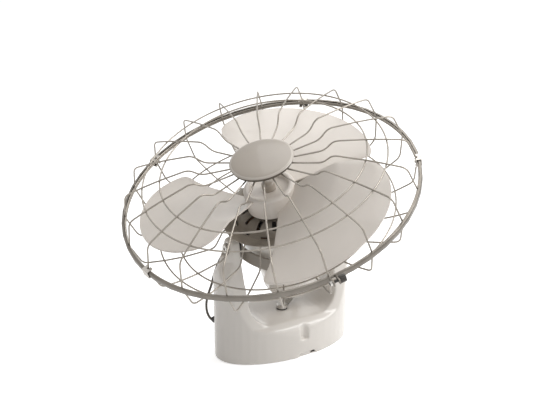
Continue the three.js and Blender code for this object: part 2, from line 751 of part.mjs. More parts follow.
const headGlandTurn = [0, 90 + Math.atan(bowlSlope) / DEG, HEAD_GLAND_TURN];

// Flanged gland along Z: a lip on each side of a wall whose outer face is at zero.
function gland(wall) {
  const bore = CORD_R + FIT;
  return revolve(
    [
      [bore, -wall - 3],
      [GLAND_R, -wall - 3],
      [GLAND_R, FIT],
      [GLAND_R + 2, FIT],
      [GLAND_R + 1, 4],
      [bore + 1, 7],
      [bore, 7],
      [bore, -wall - 3],
    ],
    12,
  );
}

// Ball pin through the bowl's end, and the nut that holds it inside.
function tailPin() {
  const centre = -TAIL_BALL_REACH + TAIL_BALL_R;
  const collar = TAIL_END - FIT;
  const sphere = new THREE.SphereGeometry(TAIL_BALL_R, 16, 8).rotateX(Math.PI / 2);
  const ball = solid(sphere.translate(0, 0, centre));
  const stem = revolve(
    [
      [0, centre],
      [3, centre],
      [3, collar - 2],
      [7, collar - 2],
      [7, collar],
      [TAIL_PIN_R, collar],
      [TAIL_PIN_R, TAIL_END + 14],
      [0, TAIL_END + 14],
    ],
    12,
  );
  return join(ball, stem);
}

function tailNut() {
  const seat = TAIL_END + CASE_WALL + 1 + FIT;
  const hex = solid(new THREE.CylinderGeometry(8, 8, 5, 6).rotateX(Math.PI / 2).translate(0, 0, seat + 2.5));
  return cut(hex, bar(TAIL_PIN_R + FIT, seat - 1, seat + 6));
}

// Dark pressed cover over the motor's front: a flange, then a vented dome round the front bearing.
function frontCover() {
  const back = CASE_FRONT + FIT;
  const top = back + COVER_RISE;
  const seat = BEARING_R + FIT;
  const form = revolve(
    [
      [COVER_R, back],
      [COVER_R, back + COVER_PLATE],
      [COVER_DOME_R + 14, back + COVER_PLATE],
      [COVER_DOME_R + 8, back + 5],
      [COVER_DOME_R, back + 10],
      [COVER_DOME_R - 16, top],
      [SHAFT_R + 2, top + 1],
      [SHAFT_R + 2, top - 1],
      [seat, top - 1],
      [seat, top - 1 - BEARING_H],
      [seat + 2.5, top - 1 - BEARING_H],
      [seat + 2.5, top - COVER_PLATE],
      [COVER_DOME_R - 16.5, top - COVER_PLATE],
      [COVER_DOME_R - 1.5, back + 8],
      [COVER_DOME_R + 6.5, back + 3],
      [COVER_DOME_R + 12, back],
      [COVER_R, back],
    ],
    24,
  );
  const vents = [];
  for (let i = 0; i < VENTS; i++) {
    const turn = (360 * i) / VENTS;
    vents.push(placed(box(17, 7, 30, [COVER_DOME_R - 1, 0, top]), [0, 0, 0], [0, 0, turn]));
    vents.push(placed(box(5, 13, 30, [COVER_DOME_R + 18.5, 0, top]), [0, 0, 0], [0, 0, turn + 180 / VENTS]));
  }
  return cut(form, ...vents);
}

// ---------------------------------------------------------------- motor

const statorTop = STATOR_BACK + STATOR_H;
function statorCore() {
  const outline = new THREE.Shape();
  outline.absarc(0, 0, STATOR_R, 0, 2 * Math.PI);
  const bore = [];
  const pitch = 360 / STATOR_TEETH;
  const polar = (r, a) => new THREE.Vector2(r * Math.cos(a * DEG), r * Math.sin(a * DEG));
  for (let i = 0; i < STATOR_TEETH; i++) {
    const a = i * pitch;
    const [tip, neck, slot] = [STATOR_BORE, STATOR_BORE + 3, STATOR_R - 7];
    bore.push(polar(tip, a - 12), polar(tip, a), polar(tip, a + 12), polar(neck, a + 12));
    bore.push(polar(neck, a + 7), polar(slot, a + 5), polar(slot, a + pitch - 5));
    bore.push(polar(neck, a + pitch - 7), polar(neck, a + pitch - 12));
  }
  outline.holes.push(new THREE.Path(bore));
  const form = { depth: STATOR_H, bevelEnabled: false, curveSegments: 16 };
  const geometry = new THREE.ExtrudeGeometry(outline, form);
  return solid(geometry.translate(0, 0, STATOR_BACK));
}

function coilRing(low, high) {
  const [inner, outer] = [STATOR_BORE + 4, STATOR_R - 7];
  return revolve(
    [
      [inner, low],
      [outer, low],
      [outer, high - 2],
      [outer - 2, high],
      [inner + 2, high],
      [inner, high - 2],
      [inner, low],
    ],
    20,
  );
}

function bearing(low) {
  return tube(BEARING_R, SHAFT_R + FIT, low, low + BEARING_H, 16);
}

function rotorCore() {
  const [low, high] = [STATOR_BACK, statorTop];
  const core = tube(STATOR_BORE - AIR_GAP, SHAFT_R + FIT, low, high, 24);
  const ends = [
    [low - 3, low + 1],
    [high - 1, high + 3],
  ].map(([from, to]) => tube(STATOR_BORE - 6, 20, from, to, 20));
  return join(core, ...ends);
}

const shaftTip = HUB_FRONT + 4;
function motorShaft() {
  const shaft = revolve(
    [
      [0, SHAFT_REAR],
      [SHAFT_R - 1, SHAFT_REAR],
      [SHAFT_R, SHAFT_REAR + 1],
      [SHAFT_R, shaftTip - 1],
      [SHAFT_R - 1, shaftTip],
      [0, shaftTip],
    ],
    12,
  );
  return cut(shaft, placed(bar(PIN_R + FIT, -10, 10, 12), [0, 0, pinPlace], [0, 90, 0]));
}
const pinPlace = HUB_BACK + 1.7;

// ---------------------------------------------------------------- guards

// A spoke as [radius, height] points above the ring plane: end, well, peak, welds, shoulder and rim.
function spokeLine(front) {
  const way = front ? 1 : -1;
  const [endR, wellR, wellH, peakR, peakH, shoulderR, shoulderH] = front
    ? [SPOKE_END_R, WELL_R, WELL_H, SPOKE_PEAK_R, SPOKE_PEAK_H, SHOULDER_R, SHOULDER_H]
    : [REAR_SPOKE_END_R, REAR_WELL_R, REAR_WELL_H, REAR_PEAK_R, REAR_PEAK_H, SHOULDER_R + 2, REAR_SHOULDER_H];
  const inner = [[endR, wellH], [wellR, wellH], [peakR, peakH], [HOOP_RADII[1], hoopHeight(1, front)]];
  const bend = [[HOOP_RADII[0], hoopHeight(0, front)], [shoulderR, shoulderH], [RIM_CENTRE, RIM_OFFSET]];
  const outer = rounded(bend, 9);
  return [...inner, ...outer].map(([r, h]) => [r, way * h]);
}

// A spoke's height over a hoop: a gently crowned line from the peak to the shoulder.
function hoopHeight(index, front) {
  const [peakR, peakH, endR, endH] = front
    ? [SPOKE_PEAK_R, SPOKE_PEAK_H, SHOULDER_R, SHOULDER_H]
    : [REAR_PEAK_R, REAR_PEAK_H, SHOULDER_R + 2, REAR_SHOULDER_H];
  const share = (HOOP_RADII[index] - peakR) / (endR - peakR);
  const crown = front ? FRONT_CROWN : REAR_CROWN;
  return peakH + (endH - peakH) * share + 4 * crown * share * (1 - share);
}

// Twenty spokes welded over two hoops and onto a rim.
function guard(front) {
  const side = front ? 1 : -1;
  const line = spokeLine(front);
  const spoke = bentWire(line, WIRE_R);
  const spokes = [];
  for (let i = 0; i < SPOKES; i++)
    spokes.push(placed(spoke, [0, 0, 0], [0, 0, GUARD_TURN + (360 * i) / SPOKES]));
  const inward = WIRE_R + HOOP_R - WELD;
  const hoops = HOOP_RADII.map((radius, i) =>
    hoop(radius, HOOP_R, side * (hoopHeight(i, front) - inward), 2 * SPOKES),
  );
  const rim = hoop(RIM_CENTRE, RIM_R, side * RIM_OFFSET, 3 * SPOKES);
  const plate = front
    ? cut(
        bar(HUB_PLATE_R, WELL_H + WIRE_R - WELD, WELL_H + WIRE_R - WELD + GUARD_PLATE_T, 36),
        bar(CAP_SCREW_R + FIT, 0, 2 * WELL_H, 12),
      )
    : tube(REAR_PLATE_R, REAR_PLATE_BORE, rearPlateLow, rearPlateLow + GUARD_PLATE_T, 40);
  return join(plate, ...spokes, ...hoops.map((h) => placed(h, [0, 0, 0], [0, 0, GUARD_TURN])), rim);
}
const rearPlateLow = CASE_FRONT + COVER_PLATE + 2 * FIT - RING_PLANE;

// Dished cap over the middle of the front guard, with a boss for the screw behind it.
function guardCap() {
  const low = WELL_H + WIRE_R - WELD + GUARD_PLATE_T + FIT;
  const rim = low + CAP_SKIRT;
  const form = (inset) =>
    revolve(
      [
        [0, low - inset],
        [CAP_R - 2 - inset, low - inset],
        ...[0, 15, 35, 60, 90].map((a) => [
          (CAP_R - inset) * Math.cos(a * DEG),
          rim + (CAP_RISE - inset) * Math.sin(a * DEG),
        ]).map(([r, z]) => [r < 0.01 ? 0 : r, z]),
      ],
      32,
    );
  const boss = bar(5, low, rim + CAP_RISE - 1, 16);
  return cut(join(cut(form(0), form(CAP_WALL)), boss), bar(CAP_SCREW_R + FIT, low - 5, rim + 1, 12));
}

function capScrew() {
  const seat = WELL_H + WIRE_R - WELD - FIT;
  const tip = WELL_H + WIRE_R + GUARD_PLATE_T + CAP_SKIRT;
  return revolve(
    [
      [0, seat - 2.5],
      [4, seat - 2.5],
      [4, seat],
      [CAP_SCREW_R, seat],
      [CAP_SCREW_R, tip],
      [0, tip],
    ],
    16,
  );
}

// The split band round both rims, with an ear at each side of the split.
function guardRing() {
  const band = revolve(
    [
      [LIP_R, BAND_HALF],
      [BAND_OUT - 1, BAND_HALF],
      [BAND_OUT, BAND_HALF - 1],
      [BAND_OUT, 1 - BAND_HALF],
      [BAND_OUT - 1, -BAND_HALF],
      [LIP_R, -BAND_HALF],
      [LIP_R, LIP_T - BAND_HALF],
      [BAND_IN, LIP_T - BAND_HALF],
      [BAND_IN, BAND_HALF - LIP_T],
      [LIP_R, BAND_HALF - LIP_T],
      [LIP_R, BAND_HALF],
    ],
    48,
  );
  const split = box(20, CLAMP_GAP, 20, [BAND_IN, 0, 0]);
  const ears = [1, -1].map((side) =>
    cut(
      box(EAR_REACH - BAND_IN, EAR_T, EAR_WIDTH, [(EAR_REACH + BAND_IN) / 2, earPlace * side, 0]),
      placed(bar(CLAMP_SCREW_R + FIT, -20, 20, 12), [clampReach, 0, 0], [90, 0, 0]),
    ),
  );
  const turned = (body) => placed(body, [0, 0, 0], [0, 0, CLAMP_TURN]);
  return join(cut(band, turned(split)), ...ears.map(turned));
}
const earPlace = (CLAMP_GAP + EAR_T) / 2;

// Fluted knob on the clamp screw, along Z with the ears round the middle.
function clampKnob() {
  const face = earPlace + EAR_T / 2 + FIT;
  const flutes = 8;
  const outline = [];
  for (let i = 0; i < 4 * flutes; i++) {
    const a = (2 * Math.PI * i) / (4 * flutes);
    const r = KNOB_R - (i % 4 === 2 ? 0.8 : 0);
    outline.push([r * Math.cos(a), r * Math.sin(a)]);
  }
  const knob = raised(outline, face, face + KNOB_H);
  return join(knob, bar(CLAMP_SCREW_R, -face - CLAMP_NUT_H - 0.6, face + 1, 12));
}

function clampNut() {
  const face = earPlace + EAR_T / 2 + FIT;
  const prism = new THREE.CylinderGeometry(4, 4, CLAMP_NUT_H, 6).rotateX(Math.PI / 2);
  const hex = solid(prism.translate(0, 0, -face - CLAMP_NUT_H / 2));
  return cut(hex, bar(CLAMP_SCREW_R + FIT, -20, 0, 12));
}

// Spring clip over the band, slotted for the spokes that it straddles.
function guardClip() {
  const [inner, outer] = [BAND_HALF + FIT, BAND_HALF + FIT + CLIP_T];
  const back = BAND_OUT + FIT;
  const outline = [
    [CLIP_REACH, inner],
    [back, inner],
    [back, -inner],
    [CLIP_REACH, -inner],
    [CLIP_REACH - 1, -outer - 1],
    [CLIP_REACH + 1, -outer],
    [back + CLIP_T - 0.6, -outer],
    [back + CLIP_T, -outer + 0.6],
    [back + CLIP_T, outer - 0.6],
    [back + CLIP_T - 0.6, outer],
    [CLIP_REACH + 1, outer],
    [CLIP_REACH - 1, outer + 1],
  ];
  const form = placed(raised(outline, -CLIP_WIDTH / 2, CLIP_WIDTH / 2), [0, 0, 0], [90, 0, 0]);
  const slot = 2 * (WIRE_R + 2 * FIT);
  return cut(form, box(LIP_R - CLIP_REACH + 6, slot, 40, [(LIP_R + CLIP_REACH - 6) / 2, 0, 0]));
}

// ---------------------------------------------------------------- blade wheel

function bladeSurface(r, angle, offset) {
  const share = Math.min(1, (r - HUB_R) / (BLADE_TWIST_R - HUB_R));
  const rise = BLADE_ROOT_RISE + (BLADE_TIP_RISE - BLADE_ROOT_RISE) * Math.max(0, share);
  const a = angle * DEG;
  return new THREE.Vector3(r * Math.cos(a), r * Math.sin(a), BLADE_LOW + rise * angle + offset);
}

// Where the blade's low and high edges lie, in degrees, at each radius out to the rounded tip.
const BLADE_EDGES = [
  [HUB_R - 1.5, 19, 82],
  [60, 14, 89],
  [90, 9, 91],
  [120, 5, 91],
  [150, 1, 90],
  [175, -1, 85],
  [BLADE_R - 18, 3, 77],
  [BLADE_R - 8, 12, 67],
  [BLADE_R - 2.5, 22, 57],
  [BLADE_R, 32, 47],
];

function blade() {
  const chords = 5;
  const rings = BLADE_EDGES.map(([r, low, high]) => {
    const top = [];
    const under = [];
    for (let i = 0; i <= chords; i++) {
      const angle = low + ((high - low) * i) / chords;
      const half = (i === 0 || i === chords ? BLADE_EDGE_T : BLADE_T) / 2;
      top.push(bladeSurface(r, angle, half));
      under.unshift(bladeSurface(r, angle, -half));
    }
    return [...top, ...under];
  });
  return solid(bladeSkin(rings));
}

// The blade's skin, whose ends are narrow strips between the two faces.
function bladeSkin(rings) {
  const count = rings[0].length;
  const faces = [];
  for (let i = 0; i + 1 < rings.length; i++)
    for (let j = 0; j < count; j++) {
      const k = (j + 1) % count;
      const [p, q, r, s] = [i * count + j, i * count + k, (i + 1) * count + k, (i + 1) * count + j];
      faces.push([p, q, r], [p, r, s]);
    }
  const last = (rings.length - 1) * count;
  for (let j = 0; j + 1 < count / 2; j++) {
    const [a, b, c, d] = [j, j + 1, count - 2 - j, count - 1 - j];
    faces.push([a, c, b], [a, d, c], [last + a, last + b, last + c], [last + a, last + c, last + d]);
  }
  const geometry = new THREE.BufferGeometry();
  const points = rings.flat().flatMap((p) => p.toArray());
  geometry.setAttribute("position", new THREE.Float32BufferAttribute(points, 3));
  geometry.setIndex(faces.flat());
  return geometry;
}

function bladeWheel() {
  const bore = SHAFT_R + FIT;
  const dish = HUB_FRONT - HUB_DISH_DEPTH;
  const hub = revolve(
    [
      [bore, HUB_BACK],
      [HUB_BOSS_R, HUB_BACK],
      [HUB_BOSS_R, dish - HUB_WALL],
      [HUB_R - HUB_WALL, dish - HUB_WALL],
      [HUB_R - HUB_WALL, HUB_BACK],
      [HUB_R, HUB_BACK],
      [HUB_R, HUB_FRONT - 5],
      [HUB_R - 2, HUB_FRONT - 1],
      [HUB_R - 5, HUB_FRONT],
      [HUB_DISH_R, HUB_FRONT - 1],
      [HUB_DISH_R - 2, dish],
      [bore, dish],
      [bore, HUB_BACK],
    ],
    28,
  );
  const hollow = bar(HUB_R - HUB_WALL, HUB_BACK - 20, dish - HUB_WALL, 28);
  const blades = [];
  for (let i = 0; i < BLADES; i++)
    blades.push(placed(cut(blade(), hollow), [0, 0, 0], [0, 0, BLADE_TURN + (360 * i) / BLADES]));
  const slot = box(2 * HUB_BOSS_R + 1, 2 * (PIN_R + FIT), 2 * (PIN_R + FIT), [0, 0, pinPlace]);
  return cut(join(hub, ...blades), slot);
}

function spinnerNut() {
  const low = HUB_FRONT - HUB_DISH_DEPTH + FIT;
  return revolve(
    [
      [SHAFT_R + FIT, low],
      [NUT_R, low],
      [NUT_R, low + NUT_H - 3],
      [NUT_R - 3, low + NUT_H],
      [0, low + NUT_H],
      [0, shaftTip + FIT],
      [SHAFT_R + FIT, shaftTip + FIT],
      [SHAFT_R + FIT, low],
    ],
    16,
  );
}

// ---------------------------------------------------------------- motor lead

// A round cord through points, closed at both ends.
function cord(points, steps) {
  const sides = 6;
  const curve = new THREE.CatmullRomCurve3(points, false, "centripetal");
  const skin = new THREE.TubeGeometry(curve, steps, CORD_R, sides);
  const faces = [...skin.index.array];
  const last = steps * (sides + 1);
  for (let j = 1; j + 1 < sides; j++) faces.push(0, j, j + 1, last, last + j + 1, last + j);
  skin.setIndex(faces);
  return solid(skin);
}

// A point from a group's own frame, in the yoke's.
const vector = ([x, y, z]) => new THREE.Vector3(x, y, z);
const euler = ([x, y, z]) => new THREE.Euler(x * DEG, y * DEG, z * DEG, "ZYX");
const fromRing = (p) => p.applyEuler(euler([RING_TILT, 0, 0])).add(vector([0, 0, PIVOT_Z]));
const fromHead = (p) => fromRing(p.applyEuler(euler([0, HEAD_TILT, 0])));

// Points along a gland's bore, at distances out from the wall's outer face.
const along = (place, turn, reaches) =>
  reaches.map((reach) => vector([0, 0, reach]).applyEuler(euler(turn)).add(vector(place)));

// Points along the sleeve's bore, at distances towards the yoke's arm.
const inSleeve = (reaches) =>
  reaches.map((y) => fromRing(vector([leadReach, y, -RING_DROP]).applyEuler(euler([0, 0, SLEEVE_TURN]))));

function lowerLead() {
  const bends = [
    [GLAND_X - 10, 39.5, 64],
    [GLAND_X - 13, 37.5, 82],
    [GLAND_X - 11, 35.5, 98],
    [GLAND_X - 5, 34, 116],
    [GLAND_X + 2, 34, 138],
    [GLAND_X + 11, 31, 161],
    [GLAND_X + 22, 27, 178],
  ].map(vector);
  const start = along(glandPlace, glandTurn, [-8, -4, 0, 4, 8]);
  return cord([...start, ...bends, ...inSleeve([9, 6, 3, 0.4])], 48);
}

function upperLead() {
  // from the sleeve down round the motor bowl
  const sleeveX = leadReach * Math.cos(SLEEVE_TURN * DEG);
  const bends = [
    [sleeveX + 11.4, 58, -10],
    [sleeveX + 17.4, 60, -22],
    [sleeveX + 25.4, 56, -40],
    [sleeveX + 33.4, 49, -56],
  ].map((p) => fromRing(vector(p)));
  const end = along(headGlandPlace, headGlandTurn, [8, 4, 0, -4, -7]).map(fromHead);
  return cord([...inSleeve([-0.4, -3, -6, -9]), ...bends, ...end], 32);
}

// ---------------------------------------------------------------- assembly

const yoke = new THREE.Group();
yoke.add(piece("yoke_shell", yokeShell(), ...WHITE_PLASTIC));
yoke.add(piece("mounting_plate", mountingPlate(), ...STEEL));
for (const [name, side] of [["front", 1], ["back", -1]]) {
  const screw = piece(`mounting_screw_${name}`, mountingScrew(), ...STEEL);
  screw.position.set(side * POCKET.x, -side * POCKET.y, 0);
  yoke.add(screw);
}
for (const [name, turn] of [["left", -90], ["right", 90]]) {
  const bush = piece(`arm_bush_${name}`, armBush(), ...BLACK_PLASTIC);
  bush.position.z = PIVOT_Z;
  bush.rotation.y = turn * DEG;
  yoke.add(bush);
}
yoke.add(piece("orbit_drive", orbitDrive(), ...STEEL));
yoke.add(piece("saddle_bush", saddleBush(), ...BLACK_PLASTIC));
const terminals = piece("terminal_block", terminalBlock(), ...BLACK_PLASTIC);
terminals.position.x = CABLE_HOLE.x;
yoke.add(terminals);
const runCapacitor = piece("run_capacitor", capacitor(), ...WHITE_PLASTIC);
runCapacitor.position.x = YOKE_A / 2 - 6;
yoke.add(runCapacitor, crank);

const ring = new THREE.Group();
ring.position.z = PIVOT_Z;
ring.rotation.x = RING_TILT * DEG;
ring.add(piece("gimbal_ring", gimbalRing(), ...DARK_PAINT));
const lugTip = RING_R - RING_WALL + FIT;
for (const [name, turn] of [["left", -90], ["right", 90]]) {
  const seat = ARM_OUTER - PIVOT_RECESS_DEPTH + FIT;
  const screw = piece(`arm_pivot_${name}`, pivotScrew(lugTip, seat), ...STEEL);
  screw.rotation.y = turn * DEG;
  ring.add(screw);
}
const sleeve = piece("lead_sleeve", leadSleeve(), ...BLACK_PLASTIC);
sleeve.rotation.z = SLEEVE_TURN * DEG;
ring.add(sleeve);

const head = new THREE.Group();
head.rotation.y = HEAD_TILT * DEG;
head.add(piece("motor_case", motorCase(), ...WHITE_PLASTIC));
head.add(piece("motor_rear_bowl", rearBowl(), ...WHITE_PLASTIC));
head.add(piece("motor_front_cover", frontCover(), ...DARK_PAINT));
head.add(piece("tail_ball_pin", tailPin(), ...STEEL));
head.add(piece("tail_nut", tailNut(), ...STEEL));
for (const [name, turn] of [["front", 90], ["back", -90]]) {
  const screw = piece(`head_pivot_${name}`, pivotScrew(CASE_WAIST_R + 1, RING_R + 0.6 + FIT), ...STEEL);
  screw.rotation.x = turn * DEG;
  head.add(screw);
}
head.add(piece("stator_core", statorCore(), ...LAMINATION));
head.add(piece("coil_front", coilRing(statorTop + FIT, statorTop + COIL_H), ...COPPER));
head.add(piece("coil_back", coilRing(STATOR_BACK - COIL_H + 1, STATOR_BACK - FIT), ...COPPER));
head.add(piece("bearing_front", bearing(CASE_FRONT + COVER_RISE - 1 - BEARING_H), ...STEEL));
head.add(piece("bearing_rear", bearing(CASE_JOIN + 2 * FIT), ...STEEL));
ring.add(head);

const cage = new THREE.Group();
cage.position.z = RING_PLANE;
cage.add(piece("front_guard", guard(true), ...GUARD_WIRE));
cage.add(piece("rear_guard", guard(false), ...GUARD_WIRE));
cage.add(piece("guard_cap", guardCap(), ...CAP_PLASTIC));
cage.add(piece("cap_screw", capScrew(), ...STEEL));
cage.add(piece("guard_ring", guardRing(), ...GUARD_WIRE));
// the clamp takes the place of a fifth clip
for (let i = 0; i < CLIPS; i++) {
  const made = piece(`guard_clip_${i + 1}`, guardClip(), ...STEEL);
  made.rotation.z = (GUARD_TURN + (360 * (4 * i - 2)) / SPOKES) * DEG;
  cage.add(made);
}
const clamp = new THREE.Group();
clamp.rotation.z = CLAMP_TURN * DEG;
const clampAxis = new THREE.Group();
clampAxis.position.x = clampReach;
clampAxis.rotation.x = -90 * DEG;
clampAxis.add(piece("clamp_knob", clampKnob(), ...BLACK_PLASTIC));
clampAxis.add(piece("clamp_nut", clampNut(), ...STEEL));
clamp.add(clampAxis);
cage.add(clamp);
head.add(cage);

const rotor = new THREE.Group();
rotor.add(piece("motor_shaft", motorShaft(), ...STEEL));
rotor.add(piece("rotor_core", rotorCore(), ...LAMINATION));
rotor.add(piece("blade_wheel", bladeWheel(), ...BLADE_PLASTIC));
rotor.add(piece("spinner_nut", spinnerNut(), ...CAP_PLASTIC));
const pin = piece("drive_pin", bar(PIN_R, -PIN_HALF, PIN_HALF, 12), ...STEEL);
pin.position.z = pinPlace;
pin.rotation.y = 90 * DEG;
rotor.add(pin);
head.add(rotor);
yoke.add(ring);

const glandAt = (name, wall, place, turn) => {
  const made = piece(name, gland(wall), ...BLACK_PLASTIC);
  made.position.set(...place);
  made.setRotationFromEuler(euler(turn));
  return made;
};
yoke.add(glandAt("yoke_gland", YOKE_WALL, glandPlace, glandTurn));
head.add(glandAt("head_gland", CASE_WALL, headGlandPlace, headGlandTurn));
yoke.add(piece("motor_lead_lower", lowerLead(), ...CORD_RUBBER));
yoke.add(piece("motor_lead_upper", upperLead(), ...CORD_RUBBER));

export default yoke;
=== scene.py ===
import math

import bpy
from mathutils import Euler, Matrix, Vector


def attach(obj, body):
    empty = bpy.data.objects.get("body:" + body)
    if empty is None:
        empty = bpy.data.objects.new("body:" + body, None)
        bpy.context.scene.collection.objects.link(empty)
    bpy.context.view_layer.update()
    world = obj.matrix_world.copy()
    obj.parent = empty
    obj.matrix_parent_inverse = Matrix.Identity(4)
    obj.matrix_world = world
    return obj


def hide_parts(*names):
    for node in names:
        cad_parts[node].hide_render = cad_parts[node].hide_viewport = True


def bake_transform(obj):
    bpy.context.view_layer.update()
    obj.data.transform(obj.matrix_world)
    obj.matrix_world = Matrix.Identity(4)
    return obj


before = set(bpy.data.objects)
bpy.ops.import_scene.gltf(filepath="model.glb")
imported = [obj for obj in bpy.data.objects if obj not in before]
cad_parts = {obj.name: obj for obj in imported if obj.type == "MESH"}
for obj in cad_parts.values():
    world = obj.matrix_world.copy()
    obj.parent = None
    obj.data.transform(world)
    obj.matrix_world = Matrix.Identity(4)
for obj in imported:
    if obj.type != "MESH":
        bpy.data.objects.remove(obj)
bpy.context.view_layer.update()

bpy.ops.object.select_all(action="DESELECT")

# Camera at the photograph's place: 30 degrees round to the left of the front,
# a little under 20 degrees above, with a moderate lens.
CAMERA_AT = (-0.7385, -1.2514, 0.7677)
CAMERA_DOWN, CAMERA_ROUND = 19.8, -30
SENSOR_MM, LENS_MM = 36, 63.4
bpy.ops.object.camera_add(
    location=CAMERA_AT,
    rotation=(math.radians(90 - CAMERA_DOWN), 0, math.radians(CAMERA_ROUND)),
)
camera = bpy.context.object
camera.data.sensor_width = SENSOR_MM
camera.data.lens = LENS_MM
bpy.context.scene.camera = camera

# The motor lead: grey rubber flex, 4 mm thick, from a gland in the yoke's back wall up behind the
# left arm to a sleeve on the gimbal ring, and in a second short length down to the motor bowl.
PIVOT_Z = 0.190
RING_LEAN, HEAD_LEAN = 11.5, -19.9
RING = Matrix.Translation((0, 0, PIVOT_Z)) @ Matrix.Rotation(math.radians(RING_LEAN), 4, "X")
HEAD = RING @ Matrix.Rotation(math.radians(HEAD_LEAN), 4, "Y")
CORD_R = 0.0020


def noisy_finish(name, colour, rough, metal=0.0, speckle=0.06, grain=900.0, bump=0.08, coat=0.0):
    """A finish whose colour, roughness and skin vary finely over the piece."""
    rough_spread, relief_depth = 0.07, 0.0004
    finish = bpy.data.materials.new(name)
    finish.use_nodes = True
    nodes, links = finish.node_tree.nodes, finish.node_tree.links
    skin = nodes["Principled BSDF"]
    place = nodes.new("ShaderNodeTexCoord")
    broad = nodes.new("ShaderNodeTexNoise")
    broad.inputs["Scale"].default_value = grain / 30
    broad.inputs["Detail"].default_value = 6
    links.new(place.outputs["Object"], broad.inputs["Vector"])
    tint = nodes.new("ShaderNodeValToRGB")
    tint.color_ramp.elements[0].position = 0.3
    tint.color_ramp.elements[1].position = 0.7
    tint.color_ramp.elements[0].color = (*[c * (1 - speckle) for c in colour], 1)
    tint.color_ramp.elements[1].color = (*[min(1, c * (1 + speckle / 2)) for c in colour], 1)
    links.new(broad.outputs["Fac"], tint.inputs["Fac"])
    links.new(tint.outputs["Color"], skin.inputs["Base Color"])
    fine = nodes.new("ShaderNodeTexNoise")
    fine.inputs["Scale"].default_value = grain
    fine.inputs["Detail"].default_value = 3
    links.new(place.outputs["Object"], fine.inputs["Vector"])
    spread = nodes.new("ShaderNodeMapRange")
    spread.inputs["To Min"].default_value = max(0.02, rough - rough_spread)
    spread.inputs["To Max"].default_value = min(1.0, rough + rough_spread)
    links.new(fine.outputs["Fac"], spread.inputs["Value"])
    links.new(spread.outputs["Result"], skin.inputs["Roughness"])
    relief = nodes.new("ShaderNodeBump")
    relief.inputs["Strength"].default_value = bump
    relief.inputs["Distance"].default_value = relief_depth
    links.new(fine.outputs["Fac"], relief.inputs["Height"])
    links.new(relief.outputs["Normal"], skin.inputs["Normal"])
    skin.inputs["Metallic"].default_value = metal
    skin.inputs["Coat Weight"].default_value = coat
    return finish


cord_rubber = noisy_finish("cord_rubber", (0.115, 0.100, 0.084), 0.55, speckle=0.2, grain=2400, bump=0.2)


def smooth_line(points, per_gap=8):
    """Points on a smooth curve through the given ones, with no overshoot where they lie unevenly."""
    reached = [2 * points[0] - points[1], *points, 2 * points[-1] - points[-2]]
    out = []
    for a, b, c, d in zip(reached, reached[1:], reached[2:], reached[3:]):
        before, gap, after = (math.sqrt((q - p).length) for p, q in ((a, b), (b, c), (c, d)))
        leave = ((b - a) / before - (c - a) / (before + gap) + (c - b) / gap) * gap
        arrive = ((c - b) / gap - (d - b) / (gap + after) + (d - c) / after) * gap
        for k in range(per_gap):
            t = k / per_gap
            out.append(
                (2 * t**3 - 3 * t**2 + 1) * b + (t**3 - 2 * t**2 + t) * leave
                + (3 * t**2 - 2 * t**3) * c + (t**3 - t**2) * arrive
            )
    return out + [points[-1]]


def laid_cord(name, route):
    """A round cord of the lead's thickness along a route, in its own rubber."""
    bpy.ops.curve.primitive_nurbs_path_add(location=(0, 0, 0))
    line = bpy.context.object
    line.name = name
    line.data.splines.clear()
    spline = line.data.splines.new("POLY")
    spline.points.add(len(route) - 1)
    for point, at in zip(spline.points, route):
        point.co = (*at, 1)
    line.data.bevel_depth = CORD_R
    line.data.bevel_resolution = 4
    line.data.use_fill_caps = True
    bpy.ops.object.convert(target="MESH")
    made = bpy.context.object
    bpy.ops.object.shade_smooth()
    made.data.materials.clear()
    made.data.materials.append(cord_rubber)
    return made


def along(place, turn, reaches):
    """Points at the reaches, in mm, along a piece's turned Z axis from its place."""
    way = Euler([math.radians(t) for t in turn], "XYZ").to_matrix() @ Vector((0, 0, 1))
    return [Vector(place) / 1000 + way * (r / 1000) for r in reaches]


def in_sleeve(reaches):
    """Points along the sleeve's bore, which stands outside the ring, behind the left arm."""
    turn = Matrix.Rotation(math.radians(SLEEVE_TURN), 4, "Z")
    return [RING @ turn @ Vector((SLEEVE_R, y / 1000, SLEEVE_H)) for y in reaches]


FOOT_HALF_X, FOOT_HALF_Y = 121.8, 65
SLEEVE_TURN, SLEEVE_R, SLEEVE_H = 150, 0.0825, -0.008
GLAND_AT = (-108, 30.0525, 55)
gland_turn = math.degrees(math.atan2(GLAND_AT[1] / FOOT_HALF_Y**2, GLAND_AT[0] / FOOT_HALF_X**2))
out_of_yoke = along(GLAND_AT, (0, 90, gland_turn), [-8, -4, 0, 4, 8])
behind_arm = [
    Vector(p) / 1000
    for p in (
        (-118, 39.5, 64),
        (-121, 37.5, 82),
        (-119, 35.5, 98),
        (-113, 34, 116),
        (-106, 34, 138),
        (-97, 31, 161),
        (-86, 27, 178),
    )
]
lower_route = smooth_line(out_of_yoke + behind_arm + in_sleeve([9, 6, 3, 0.4]), 5)
lower_lead = laid_cord("lower_lead", lower_route)
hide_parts("motor_lead_lower")
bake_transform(lower_lead)

